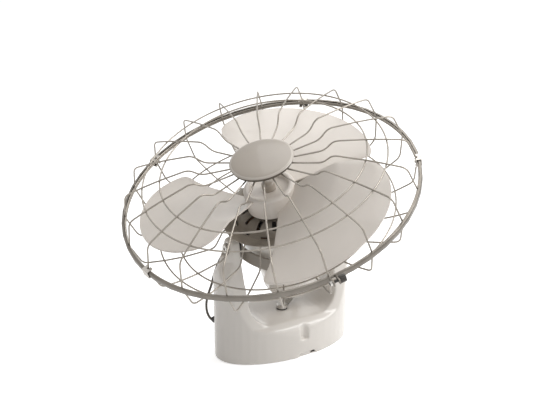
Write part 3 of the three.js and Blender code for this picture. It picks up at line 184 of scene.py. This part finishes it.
BOWL_STEP_R, BOWL_SLOPE = 49, 7 / 22
HEAD_GLAND_TURN, HEAD_GLAND_Z, HEAD_GLAND_UP = 140, -42, 10
slope = math.degrees(math.atan(BOWL_SLOPE))
gland_r = BOWL_STEP_R + BOWL_SLOPE * HEAD_GLAND_UP
gland_way = math.radians(HEAD_GLAND_TURN)
on_bowl = (gland_r * math.cos(gland_way), gland_r * math.sin(gland_way), HEAD_GLAND_Z)
into_bowl = [HEAD @ p for p in along(on_bowl, (0, 90 + slope, HEAD_GLAND_TURN), [8, 4, 0, -4, -7])]
under_ring = [
    RING @ (Vector(p) / 1000)
    for p in (
        (-60, 58, -10),
        (-54, 60, -22),
        (-46, 56, -40),
        (-38, 49, -56),
    )
]
upper_route = smooth_line(in_sleeve([-0.4, -3, -6, -9]) + under_ring + into_bowl, 5)
upper_lead = laid_cord("upper_lead", upper_route)
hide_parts("motor_lead_upper")
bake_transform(upper_lead)

# Studio: a pale floor and sky, one broad soft lamp from the upper right and a weaker one from
# overhead. The background shows white to the camera and in the metal.
FLOOR_SIZE, FLOOR_BELOW, FLOOR_GLOW = 12, 0.0005, 0.62
SKY_LIGHT, SKY_SEEN = 0.40, 1.0
LAMPS_AIM = Vector((0, 0, 0.2))
bpy.ops.mesh.primitive_plane_add(size=FLOOR_SIZE, location=(0, 0, -FLOOR_BELOW))
floor = bpy.context.object
floor.name = "floor"
floor_finish = bpy.data.materials.new("floor_white")
floor_finish.use_nodes = True
floor_nodes, floor_links = floor_finish.node_tree.nodes, floor_finish.node_tree.links
floor_nodes["Principled BSDF"].inputs["Base Color"].default_value = (0.92, 0.92, 0.92, 1)
floor_nodes["Principled BSDF"].inputs["Roughness"].default_value = 0.8
floor_nodes["Principled BSDF"].inputs["Specular IOR Level"].default_value = 0.1
glow = floor_nodes.new("ShaderNodeEmission")
seen = floor_nodes.new("ShaderNodeLightPath")
either = floor_nodes.new("ShaderNodeMath")
either.operation = "MAXIMUM"
floor_links.new(seen.outputs["Is Camera Ray"], either.inputs[0])
floor_links.new(seen.outputs["Is Glossy Ray"], either.inputs[1])
glow_level = floor_nodes.new("ShaderNodeMath")
glow_level.operation = "MULTIPLY"
glow_level.inputs[1].default_value = FLOOR_GLOW
floor_links.new(either.outputs["Value"], glow_level.inputs[0])
floor_links.new(glow_level.outputs["Value"], glow.inputs["Strength"])
both = floor_nodes.new("ShaderNodeAddShader")
floor_links.new(floor_nodes["Principled BSDF"].outputs["BSDF"], both.inputs[0])
floor_links.new(glow.outputs["Emission"], both.inputs[1])
floor_links.new(both.outputs["Shader"], floor_nodes["Material Output"].inputs["Surface"])
floor.data.materials.append(floor_finish)

world = bpy.data.worlds.new("studio")
bpy.context.scene.world = world
world.use_nodes = True
sky_nodes, sky_links = world.node_tree.nodes, world.node_tree.links
sky = sky_nodes["Background"]
sky.inputs["Color"].default_value = (1, 1, 1, 1)
ray = sky_nodes.new("ShaderNodeLightPath")
seen_directly = sky_nodes.new("ShaderNodeMath")
seen_directly.operation = "MAXIMUM"
mirrored = sky_nodes.new("ShaderNodeMath")
mirrored.operation = "MAXIMUM"
sky_links.new(ray.outputs["Is Glossy Ray"], mirrored.inputs[0])
sky_links.new(ray.outputs["Is Transmission Ray"], mirrored.inputs[1])
sky_links.new(ray.outputs["Is Camera Ray"], seen_directly.inputs[0])
sky_links.new(mirrored.outputs["Value"], seen_directly.inputs[1])
level = sky_nodes.new("ShaderNodeMapRange")
level.inputs["To Min"].default_value = SKY_LIGHT
level.inputs["To Max"].default_value = SKY_SEEN
sky_links.new(seen_directly.outputs["Value"], level.inputs["Value"])
sky_links.new(level.outputs["Result"], sky.inputs["Strength"])

for name, place, power, size in (
    ("key_lamp", (1.65, -1.11, 1.90), 42, 1.5),
    ("top_lamp", (0.6, 0.9, 2.50), 20, 1.6),
):
    bpy.ops.object.light_add(type="AREA", location=place)
    lamp = bpy.context.object
    lamp.name = name
    lamp.data.energy = power
    lamp.data.size = size
    lamp.rotation_euler = (LAMPS_AIM - Vector(place)).to_track_quat("-Z", "Y").to_euler()
bpy.context.scene.view_settings.view_transform = "Standard"

# Yoke: one glossy cream moulding, an oval foot that sweeps up into two arms round a saddle. The skin
# is the solid's own, merged and rounded over, with its screw wells and cable notch filled and cut
# again where the photograph shows them.
cream_moulding = noisy_finish(
    "cream_moulding", (0.77, 0.73, 0.68), 0.24, speckle=0.025, grain=500, bump=0.03, coat=0.25
)


def skin_of(node, name):
    """A merged copy of a solid's skin, to be rounded and smoothed."""
    bpy.ops.object.select_all(action="DESELECT")
    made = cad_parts[node].copy()
    made.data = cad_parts[node].data.copy()
    made.parent = None
    made.name = name
    bpy.context.collection.objects.link(made)
    made.hide_render = made.hide_viewport = False
    for key in [k for k in made.keys() if k.startswith("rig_")]:
        del made[key]
    bpy.context.view_layer.objects.active = made
    made.select_set(True)
    bpy.ops.object.mode_set(mode="EDIT")
    bpy.ops.mesh.select_all(action="SELECT")
    bpy.ops.mesh.remove_doubles(threshold=0.00002)
    bpy.ops.object.mode_set(mode="OBJECT")
    return made


def fitted(piece, node, body, slot, *finishes):
    """The piece takes its finish, and the place of its solid on the body."""
    piece.data.materials.clear()
    for finish in finishes:
        piece.data.materials.append(finish)
    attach(piece, body)
    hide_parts(node)
    return piece


def prism(name, outline, low, high, upright=False):
    """A closed prism over an outline in mm: along Z, or along X where it is a side profile."""
    bpy.ops.object.select_all(action="DESELECT")
    bpy.ops.mesh.primitive_circle_add(vertices=len(outline), radius=1, fill_type="NGON")
    made = bpy.context.object
    made.name = name
    for corner, (u, v) in zip(made.data.vertices, outline):
        corner.co = Vector((low, u, v) if upright else (u, v, low)) / 1000
    bpy.ops.object.mode_set(mode="EDIT")
    bpy.ops.mesh.select_all(action="SELECT")
    rise = (high - low) / 1000
    way = (rise, 0, 0) if upright else (0, 0, rise)
    bpy.ops.mesh.extrude_region_move(TRANSFORM_OT_translate={"value": way})
    bpy.ops.mesh.select_all(action="SELECT")
    bpy.ops.mesh.normals_make_consistent(inside=False)
    bpy.ops.object.mode_set(mode="OBJECT")
    return made


def combined(piece, tool, how):
    """The tool joins or cuts the piece, and is gone."""
    bpy.ops.object.select_all(action="DESELECT")
    bpy.context.view_layer.objects.active = piece
    piece.select_set(True)
    step = piece.modifiers.new(how.lower(), "BOOLEAN")
    step.operation = how
    step.solver = "EXACT"
    step.object = tool
    bpy.ops.object.modifier_apply(modifier=step.name)
    bpy.data.objects.remove(tool)


yoke = skin_of("yoke_shell", "yoke_moulding")
PLUG_X, PLUG_HALF = 24, 8.2
WELL_X, WELL_Y, WELL_R, WELL_SIDES = 6.2, -64.8, 7.2, 32
WELL_FLOOR, WELL_TOP = 31, 80
BOSS_HALF = 10
for side in (1, -1):
    plug = [(-29, 20), (-29, 62), (-48, 62), (-54.2, 58.2), (-54.2, 20)]
    plug = [(y * side, z) for y, z in plug]
    combined(yoke, prism("plug", plug, side * PLUG_X - PLUG_HALF, side * PLUG_X + PLUG_HALF, True), "UNION")
    boss = [(-63.4, 26), (-63.4, 46.5), (-58, 54.6), (-54.4, 56.6), (-54.4, 26)]
    boss = [(y * side, z) for y, z in boss]
    combined(yoke, prism("boss", boss, side * WELL_X - BOSS_HALF, side * WELL_X + BOSS_HALF, True), "UNION")
    turns = [a * math.pi / (WELL_SIDES / 2) for a in range(WELL_SIDES)]
    well = [(side * WELL_X + WELL_R * math.cos(a), side * (WELL_Y + WELL_R * math.sin(a))) for a in turns]
    combined(yoke, prism("well", well, WELL_FLOOR, WELL_TOP), "DIFFERENCE")
NOTCH_H, CABLE_WAY_H, BELOW_FOOT = 6.8, 5.6, -1
FILL_H, NOTCH_BACK_H = 8.4, 12
front_wall = [(x, -FOOT_HALF_Y * math.sqrt(1 - (x / FOOT_HALF_X) ** 2)) for x in (16, 24, 32, 40, 46)]
notch_back = [(-7, -63.4), (19.6, -63.4), (19.6, -56), (-7, -56)]
notch = [(-3, -61.4), (28, -60.4), (28, -70), (-3, -70)]
cable_way = [(20, -54), (28, -54), (28, -70), (20, -70)]
combined(yoke, prism("notch_fill", front_wall + [(46, -55), (16, -58)], 0, FILL_H), "UNION")
combined(yoke, prism("notch_back", notch_back, 0, NOTCH_BACK_H), "UNION")
combined(yoke, prism("notch", notch, BELOW_FOOT, NOTCH_H), "DIFFERENCE")
combined(yoke, prism("cable_way", cable_way, BELOW_FOOT, CABLE_WAY_H), "DIFFERENCE")
VOXEL, RELAX_ROUNDS, KEPT_SHARE = 0.0014, 22, 0.35
remesh = yoke.modifiers.new("round_over", "REMESH")
remesh.mode = "VOXEL"
remesh.voxel_size = VOXEL
remesh.use_smooth_shade = True
bpy.ops.object.modifier_apply(modifier="round_over")
relax = yoke.modifiers.new("relax", "SMOOTH")
relax.factor = 0.5
relax.iterations = RELAX_ROUNDS
bpy.ops.object.modifier_apply(modifier="relax")
thin = yoke.modifiers.new("thin", "DECIMATE")
thin.ratio = KEPT_SHARE
bpy.ops.object.modifier_apply(modifier="thin")
bpy.ops.object.shade_smooth()
fitted(yoke, "yoke_shell", "yoke", "white_moulding", cream_moulding)

# Steel and plastic fixings: plate, screws, pivots, drive, bearings, shaft, bushes, glands and the
# capacitor. Their solids are true, so they keep their own meshes and only take a finish.
zinc_steel = noisy_finish(
    "zinc_steel", (0.56, 0.54, 0.51), 0.34, metal=0.9, speckle=0.12, grain=1600, bump=0.06
)
black_plastic = noisy_finish("black_plastic", (0.030, 0.027, 0.024), 0.5, speckle=0.2, grain=2000, bump=0.12)


def finished_node(node, finish):
    """A solid that shows as it is takes one finish."""
    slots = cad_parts[node].data.materials
    slots.clear()
    slots.append(finish)


for node in (
    "mounting_plate", "mounting_screw_front", "mounting_screw_back", "orbit_drive", "orbit_crank",
    "arm_pivot_left", "arm_pivot_right", "head_pivot_front", "head_pivot_back", "tail_ball_pin", "tail_nut",
    "bearing_front", "bearing_rear", "cap_screw", "clamp_nut", "motor_shaft", "drive_pin",
):
    finished_node(node, zinc_steel)
for node in (
    "arm_bush_left", "arm_bush_right", "saddle_bush", "terminal_block",
    "yoke_gland", "head_gland", "lead_sleeve",
):
    finished_node(node, black_plastic)
capacitor_case = noisy_finish("capacitor_case", (0.70, 0.68, 0.63), 0.45, speckle=0.05, grain=900, bump=0.05)
finished_node("run_capacitor", capacitor_case)

# Gimbal ring: a dark painted steel band with four turned lugs, two pinned in the arms and two
# that carry the motor.
dark_paint = noisy_finish(
    "dark_paint", (0.25, 0.22, 0.185), 0.42, speckle=0.12, grain=1100, bump=0.07, coat=0.1
)


def turned(name, outline, steps=96, frame_matrix=Matrix.Identity(4), soft=0.0006):
    """A turned piece: a closed outline of (radius, height) in mm, spun round its axis."""
    bpy.ops.object.select_all(action="DESELECT")
    bpy.ops.mesh.primitive_circle_add(vertices=len(outline), radius=1)
    made = bpy.context.object
    made.name = name
    for corner, (r, z) in zip(made.data.vertices, outline):
        corner.co = (r / 1000, 0, z / 1000)
    bpy.ops.object.mode_set(mode="EDIT")
    bpy.ops.mesh.select_all(action="SELECT")
    bpy.ops.mesh.spin(steps=steps, angle=2 * math.pi, center=(0, 0, 0), axis=(0, 0, 1))
    bpy.ops.mesh.select_all(action="SELECT")
    bpy.ops.mesh.remove_doubles(threshold=0.00003)
    bpy.ops.mesh.dissolve_degenerate(threshold=0.00001)
    bpy.ops.mesh.normals_make_consistent(inside=False)
    bpy.ops.object.mode_set(mode="OBJECT")
    if soft:
        edge = made.modifiers.new("edge", "BEVEL")
        edge.width = soft
        edge.segments = 2
        edge.limit_method = "ANGLE"
        edge.angle_limit = math.radians(32)
        bpy.ops.object.modifier_apply(modifier="edge")
    made.data.transform(frame_matrix)
    bpy.ops.object.shade_smooth_by_angle(angle=math.radians(35))
    return made


def joined(first, *rest):
    """The pieces in one mesh, under the first one's name."""
    bpy.ops.object.select_all(action="DESELECT")
    for part in (first, *rest):
        part.select_set(True)
    bpy.context.view_layer.objects.active = first
    bpy.ops.object.join()
    return first


BAND_IN, BAND_FLAT, BAND_OUT = 75.5, 77.5, 78.5
BAND_LOW, BAND_HIGH, BAND_CHAMFER = -19, 3, 1.5
PIVOT_BORE_R, LUG_R = 4.3, 12
ARM_LUG_OUT, HEAD_LUG_OUT = 81.0, 79.1
band = turned(
    "ring_band",
    [
        (BAND_IN, BAND_LOW), (BAND_FLAT, BAND_LOW), (BAND_OUT, BAND_LOW + BAND_CHAMFER),
        (BAND_OUT, BAND_HIGH - BAND_CHAMFER), (BAND_FLAT, BAND_HIGH), (BAND_IN, BAND_HIGH),
    ],
    128, RING,
)
lugs = []
for i, turn in enumerate((0, 90, 180, 270)):
    low, high = (BAND_IN, HEAD_LUG_OUT) if turn % 180 else (BAND_FLAT, ARM_LUG_OUT)
    out = RING @ Matrix.Rotation(math.radians(turn), 4, "Z") @ Matrix.Rotation(math.radians(90), 4, "Y")
    lug = [(PIVOT_BORE_R, low), (LUG_R, low), (LUG_R, high), (PIVOT_BORE_R, high)]
    lugs.append(turned(f"ring_lug_{i}", lug, 48, out))
gimbal = joined(band, *lugs)
fitted(gimbal, "gimbal_ring", "gimbal", "dark_paint", dark_paint)

# Motor housing: a white moulded case whose waist passes through the ring, a stepped bowl behind it
# and a dark vented cover in front, all round the one shaft.
case = turned(
    "case_moulding",
    [
        (59, -16), (62, 0), (65.5, 30), (67, 55), (64.8, 55), (63.3, 30), (59.8, 0), (59.8, -4.3),
        (56.5, -4.3), (56.5, -7), (55.8, -13), (14, -13), (14, -9), (11.3, -9), (11.3, -15.7),
        (6, -15.7), (6, -18), (14, -18), (14, -16),
    ],
    96, HEAD,
)
BOSS_R, BOSS_IN, BOSS_OUT = 9, 61, 75.2
bosses = []
for i, turn in enumerate((-90, 90)):
    out = HEAD @ Matrix.Rotation(math.radians(turn), 4, "X")
    boss = [(PIVOT_BORE_R, BOSS_IN), (BOSS_R, BOSS_IN), (BOSS_R, BOSS_OUT), (PIVOT_BORE_R, BOSS_OUT)]
    bosses.append(turned(f"case_boss_{i}", boss, 40, out))
case = joined(case, *bosses)
fitted(case, "motor_case", "fan_head", "white_moulding", cream_moulding)

bowl = turned(
    "bowl_moulding",
    [
        (58.5, -16.3), (56, -30), (49, -52), (49, -84), (45, -96), (36, -104), (4.3, -104), (4.3, -100.8),
        (35, -100.8), (42.8, -95), (46.8, -84), (46.8, -52), (53.8, -30), (56.3, -16.3),
    ],
    96, HEAD, 0.0010,
)
fitted(bowl, "motor_rear_bowl", "fan_head", "white_moulding", cream_moulding)

cover = skin_of("motor_front_cover", "cover_pressing")
bpy.ops.object.shade_smooth_by_angle(angle=math.radians(30))
fitted(cover, "motor_front_cover", "fan_head", "dark_paint", dark_paint)

# Motor inside: laminated steel stator and rotor, with copper windings at both ends. They show only
# through the cover's vents, so the solids keep their own meshes and take a finish.
lamination = bpy.data.materials.new("lamination")
lamination.use_nodes = True
sheet_nodes, sheet_links = lamination.node_tree.nodes, lamination.node_tree.links
sheet_place = sheet_nodes.new("ShaderNodeTexCoord")
sheet_turn = sheet_nodes.new("ShaderNodeMapping")
sheet_turn.inputs["Rotation"].default_value = (math.radians(-RING_LEAN), math.radians(-HEAD_LEAN), 0)
sheet_lines = sheet_nodes.new("ShaderNodeTexWave")
sheet_lines.bands_direction = "Z"
SHEETS_SCALE = 320
sheet_lines.inputs["Scale"].default_value = SHEETS_SCALE
sheet_tint = sheet_nodes.new("ShaderNodeValToRGB")
sheet_tint.color_ramp.elements[0].color = (0.10, 0.095, 0.09, 1)
sheet_tint.color_ramp.elements[1].color = (0.34, 0.33, 0.31, 1)
sheet_links.new(sheet_place.outputs["Object"], sheet_turn.inputs["Vector"])
sheet_links.new(sheet_turn.outputs["Vector"], sheet_lines.inputs["Vector"])
sheet_links.new(sheet_lines.outputs["Fac"], sheet_tint.inputs["Fac"])
sheet_links.new(sheet_tint.outputs["Color"], sheet_nodes["Principled BSDF"].inputs["Base Color"])
sheet_nodes["Principled BSDF"].inputs["Metallic"].default_value = 0.8
sheet_nodes["Principled BSDF"].inputs["Roughness"].default_value = 0.5
copper_winding = noisy_finish(
    "copper_winding", (0.24, 0.115, 0.06), 0.38, metal=0.8, speckle=0.35, grain=1500, bump=0.5
)
for node, finish in (
    ("stator_core", lamination), ("rotor_core", lamination),
    ("coil_front", copper_winding), ("coil_back", copper_winding),
):
    finished_node(node, finish)

# Wire guards: plated steel spokes, each bent from a well at the middle over a peak to a straight
# run and a tight shoulder, welded over two hoops and onto a rim, round a pressed centre plate.
guard_wire = noisy_finish(
    "guard_wire", (0.36, 0.325, 0.28), 0.30, metal=0.6, speckle=0.25, grain=700, bump=0.04
)
CAGE_UP = 0.1007
CAGE = HEAD @ Matrix.Translation((0, 0, CAGE_UP))
SPOKES, FIRST_SPOKE, SPOKE_BEND = 20, 9.3, 9
WIRE_R, RIM_WIRE_R = 0.0013, 0.0015
RIM_AT, HOOP_BELOW = (232, 1.65), 2.2


def rounded_line(corners, radius):
    """Corners of (radius, height) in mm, each turned through five short steps."""
    steps = 5
    line = [Vector(corners[0])]
    for before, at, after in zip(corners, corners[1:], corners[2:]):
        before, at, after = Vector(before), Vector(at), Vector(after)
        reach = min(radius, (before - at).length / 2.4, (after - at).length / 2.4)
        start = at + (before - at).normalized() * reach
        end = at + (after - at).normalized() * reach
        for k in range(steps + 1):
            t = k / steps
            line.append(start * (1 - t) ** 2 + at * 2 * t * (1 - t) + end * t**2)
    return line + [Vector(corners[-1])]


def wire_guard(name, corners, hoops, side, plate):
    """A guard half on its plate: bent spokes under round hoops and on a rim, side 1 front, -1 rear."""
    line = rounded_line(corners, SPOKE_BEND)
    bpy.ops.object.select_all(action="DESELECT")
    bpy.ops.curve.primitive_nurbs_path_add(location=(0, 0, 0))
    spoke = bpy.context.object
    spoke.data.splines.clear()
    run = spoke.data.splines.new("POLY")
    run.points.add(len(line) - 1)
    for point, (r, h) in zip(run.points, line):
        point.co = (r / 1000, 0, side * h / 1000, 1)
    spoke.data.bevel_depth = WIRE_R
    spoke.data.bevel_resolution = 2
    spoke.data.use_fill_caps = True
    bpy.ops.object.convert(target="MESH")
    parts = []
    for i in range(SPOKES):
        copy = spoke.copy()
        copy.data = spoke.data.copy()
        copy.data.transform(Matrix.Rotation(math.radians(FIRST_SPOKE + 360 / SPOKES * i), 4, "Z"))
        bpy.context.collection.objects.link(copy)
        parts.append(copy)
    bpy.data.objects.remove(spoke)
    for r, h in hoops:
        bpy.ops.mesh.primitive_torus_add(
            major_radius=r / 1000, minor_radius=WIRE_R, major_segments=180, minor_segments=10,
            location=(0, 0, side * (h - HOOP_BELOW) / 1000),
        )
        bpy.ops.object.transform_apply(location=True, rotation=True, scale=True)
        parts.append(bpy.context.object)
    bpy.ops.mesh.primitive_torus_add(
        major_radius=RIM_AT[0] / 1000, minor_radius=RIM_WIRE_R, major_segments=200, minor_segments=10,
        location=(0, 0, side * RIM_AT[1] / 1000),
    )
    bpy.ops.object.transform_apply(location=True, rotation=True, scale=True)
    parts.append(bpy.context.object)
    guard = joined(*parts)
    guard.name = name
    guard.data.transform(CAGE)
    bpy.ops.object.shade_smooth()
    return joined(guard, plate)


PLATE_SOFT = 0.0004
front_plate = turned("front_plate", [(2.3, 53.4), (45, 53.4), (45, 55), (2.3, 55)], 72, CAGE, PLATE_SOFT)
front_hoops = [(161, 57.5), (191, 50.3)]
front_guard = wire_guard(
    "front_guard_wires",
    [(40, 52.5), (96, 52.5), (112.5, 66.5), *front_hoops, (220.5, 42), RIM_AT],
    front_hoops, 1, front_plate,
)
fitted(front_guard, "front_guard", "fan_head", "guard_wire", guard_wire)
rear_plate = turned("rear_plate", [(70, -43.1), (86, -43.1), (86, -41.5), (70, -41.5)], 96, CAGE, PLATE_SOFT)
rear_hoops = [(161, 60.6), (191, 52.4)]
rear_guard = wire_guard(
    "rear_guard_wires",
    [(78, 42.5), (89, 42.5), (110.5, 68.5), *rear_hoops, (222.5, 41), RIM_AT],
    rear_hoops, -1, rear_plate,
)
fitted(rear_guard, "rear_guard", "fan_head", "guard_wire", guard_wire)

# Guard ring: a rolled channel that grips both rims, split at the clamp, where two ears take the
# fluted knob's screw. The clips are bent spring steel that snaps over the band.
ring_band = skin_of("guard_ring", "clamp_band")
bpy.ops.object.shade_smooth_by_angle(angle=math.radians(30))
band_steel = noisy_finish(
    "band_steel", (0.20, 0.18, 0.155), 0.33, metal=0.7, speckle=0.2, grain=900, bump=0.05
)
fitted(ring_band, "guard_ring", "fan_head", "guard_wire", band_steel)
spring_steel = noisy_finish(
    "spring_steel", (0.50, 0.47, 0.43), 0.30, metal=0.85, speckle=0.15, grain=1300, bump=0.05
)
for i in range(1, 5):
    finished_node(f"guard_clip_{i}", spring_steel)
knob_plastic = noisy_finish("knob_plastic", (0.050, 0.044, 0.037), 0.45, speckle=0.2, grain=1800, bump=0.1)
knob = skin_of("clamp_knob", "fluted_knob")
KNOB_SOFT = 0.0005
knob_edge = knob.modifiers.new("edge", "BEVEL")
knob_edge.width = KNOB_SOFT
knob_edge.segments = 2
bpy.ops.object.modifier_apply(modifier="edge")
bpy.ops.object.shade_smooth_by_angle(angle=math.radians(30))
fitted(knob, "clamp_knob", "clamp", "black_plastic", knob_plastic)

# Guard cap: a low domed cap in grey-brown plastic with a lighter rolled rim and painted shade on its
# underside, a dark colour for the shadow under it, screwed to the front guard's plate. Its face is bare.
cap_moulding = noisy_finish(
    "cap_moulding", (0.40, 0.35, 0.295), 0.36, speckle=0.05, grain=600, bump=0.03, coat=0.2
)
rim_moulding = noisy_finish("cap_rim", (0.55, 0.50, 0.44), 0.30, speckle=0.04, grain=600, bump=0.03, coat=0.2)
# The underside's near-black colour is painted shade: it stands for the shadow under the cap.
cap_painted_shade_finish = noisy_finish("cap_painted_shade", (0.13, 0.11, 0.085), 0.5, speckle=0.1, grain=600, bump=0.05)
CAP_R, CAP_EDGE_H, CAP_RISE, CAP_STEPS = 50.5, 59.7, 5.5, 12
PAINTED_SHADE_TOP, FACE_R = 0.0592, 0.0468
cap_outline = [(0.0, 65.2)]
for i in range(1, CAP_STEPS + 1):
    a = math.radians(90 - i * 90 / CAP_STEPS)
    cap_outline.append((CAP_R * math.cos(a), CAP_EDGE_H + CAP_RISE * math.sin(a)))
cap_outline += [(48.5, 54.7), (46.5, 54.7), (48.2, 59.2), (40, 61.4), (20, 62.8), (0.0, 63.2)]
cap = turned("cap_dome", cap_outline, 96, CAGE, 0.0)
cap_boss = turned("cap_boss", [(2.3, 54.9), (5, 54.9), (5, 63.4), (2.3, 63.4)], 32, CAGE, 0.0)
cap = joined(cap, cap_boss)
fitted(cap, "guard_cap", "fan_head", "cap_moulding", cap_moulding, rim_moulding, cap_painted_shade_finish)
unplaced = CAGE.inverted()
for face in cap.data.polygons:
    at = unplaced @ face.center
    # Faces under the cap's edge take the painted shade, a dark colour for the shadow beneath the cap.
    if at.z < PAINTED_SHADE_TOP:
        face.material_index = 2
    elif math.hypot(at.x, at.y) > FACE_R:
        face.material_index = 1

# Blade wheel: hub and three broad blades moulded in one, each blade a twisted sheet with a full
# round tip and thin edges.
blade_moulding = noisy_finish(
    "blade_moulding", (0.76, 0.70, 0.635), 0.34, speckle=0.035, grain=420, bump=0.03, coat=0.15
)
BLADE_R, BLADE_ROOT_R = 209, 39.3
BLADE_H, ROOT_RISE, TIP_RISE = 78, 0.32, 0.56


def blade_edges(r):
    """The blade's middle and half width, in degrees about the shaft, at a radius in mm."""
    stations = [
        (39.5, 15, 82), (60, 8.5, 89), (90, 3.5, 91), (120, 1, 91), (150, -1.8, 90), (166, -3.8, 87.6),
        (178, -4.2, 83.5), (185, -2.4, 79.5), (191, 1.8, 76.5), (197, 7, 71.5), (201, 11.5, 67.5),
        (205, 18, 62), (207.5, 25, 56), (BLADE_R, 33, 48),
    ]
    for (r0, low0, high0), (r1, low1, high1) in zip(stations, stations[1:]):
        if r <= r1 or r1 == BLADE_R:
            # the share of the way from one station to the next, or the nearest end of it
            t = min(1, max(0, (r - r0) / (r1 - r0)))
            low, high = low0 + (low1 - low0) * t, high0 + (high1 - high0) * t
            break
    return (low + high) / 2, (high - low) / 2


def blade_point(r, angle):
    """A point of the blade's middle sheet, which climbs round the shaft, more steeply past the hub."""
    hub_r, steep_r = 41, 110
    share = min(1, max(0, (r - hub_r) / (steep_r - hub_r)))
    rise = ROOT_RISE + (TIP_RISE - ROOT_RISE) * share
    a = math.radians(angle)
    return Vector((r * math.cos(a), r * math.sin(a), BLADE_H + rise * angle)) / 1000


TIP_CROWDING, BLADE_WALL, BLADE_EDGE = 1.9, 0.0023, 0.0008
bpy.ops.object.select_all(action="DESELECT")
bpy.ops.mesh.primitive_grid_add(x_subdivisions=28, y_subdivisions=44, size=2)
blade = bpy.context.object
blade.name = "blade"
for corner in blade.data.vertices:
    u, v = corner.co.x, (corner.co.y + 1) / 2
    r = BLADE_ROOT_R + (BLADE_R - BLADE_ROOT_R) * (1 - (1 - v) ** TIP_CROWDING)
    middle_angle, half = blade_edges(r)
    corner.co = blade_point(r, middle_angle + half * u)
wall = blade.modifiers.new("wall", "SOLIDIFY")
wall.thickness = BLADE_WALL
wall.offset = 0
bpy.ops.object.modifier_apply(modifier="wall")
edge = blade.modifiers.new("edge", "BEVEL")
edge.width = BLADE_EDGE
edge.segments = 3
edge.limit_method = "ANGLE"
edge.angle_limit = math.radians(50)
bpy.ops.object.modifier_apply(modifier="edge")
bpy.ops.object.mode_set(mode="EDIT")
bpy.ops.mesh.select_all(action="SELECT")
bpy.ops.mesh.normals_make_consistent(inside=False)
bpy.ops.object.mode_set(mode="OBJECT")
bpy.ops.object.shade_smooth_by_angle(angle=math.radians(40))
blades = [blade]
for i in (1, 2):
    copy = blade.copy()
    copy.data = blade.data.copy()
    copy.data.transform(Matrix.Rotation(math.radians(120 * i), 4, "Z"))
    bpy.context.collection.objects.link(copy)
    blades.append(copy)
for one in blades:
    one.data.transform(HEAD)
hub = turned(
    "wheel_hub",
    [
        (4.3, 74), (9, 74), (9, 99.5), (38.5, 99.5), (38.5, 74), (41, 74), (41, 104), (40.3, 106.5),
        (38.5, 108.3), (36, 109), (33, 108.6), (31, 107), (29.4, 103), (27.5, 102), (4.3, 102),
    ],
    96, HEAD, 0.0,
)
wheel = joined(hub, *blades)
fitted(wheel, "blade_wheel", "rotor", "blade_moulding", blade_moulding)
spinner = turned(
    "spinner_cap",
    [
        (4.3, 102.3), (10.5, 102.3), (10.5, 112.5), (9.6, 114.6), (7.5, 116.0),
        (0, 116.3), (0, 113.3), (4.3, 113.3),
    ],
    64, HEAD, 0.0,
)
fitted(spinner, "spinner_nut", "rotor", "cap_moulding", cap_moulding)
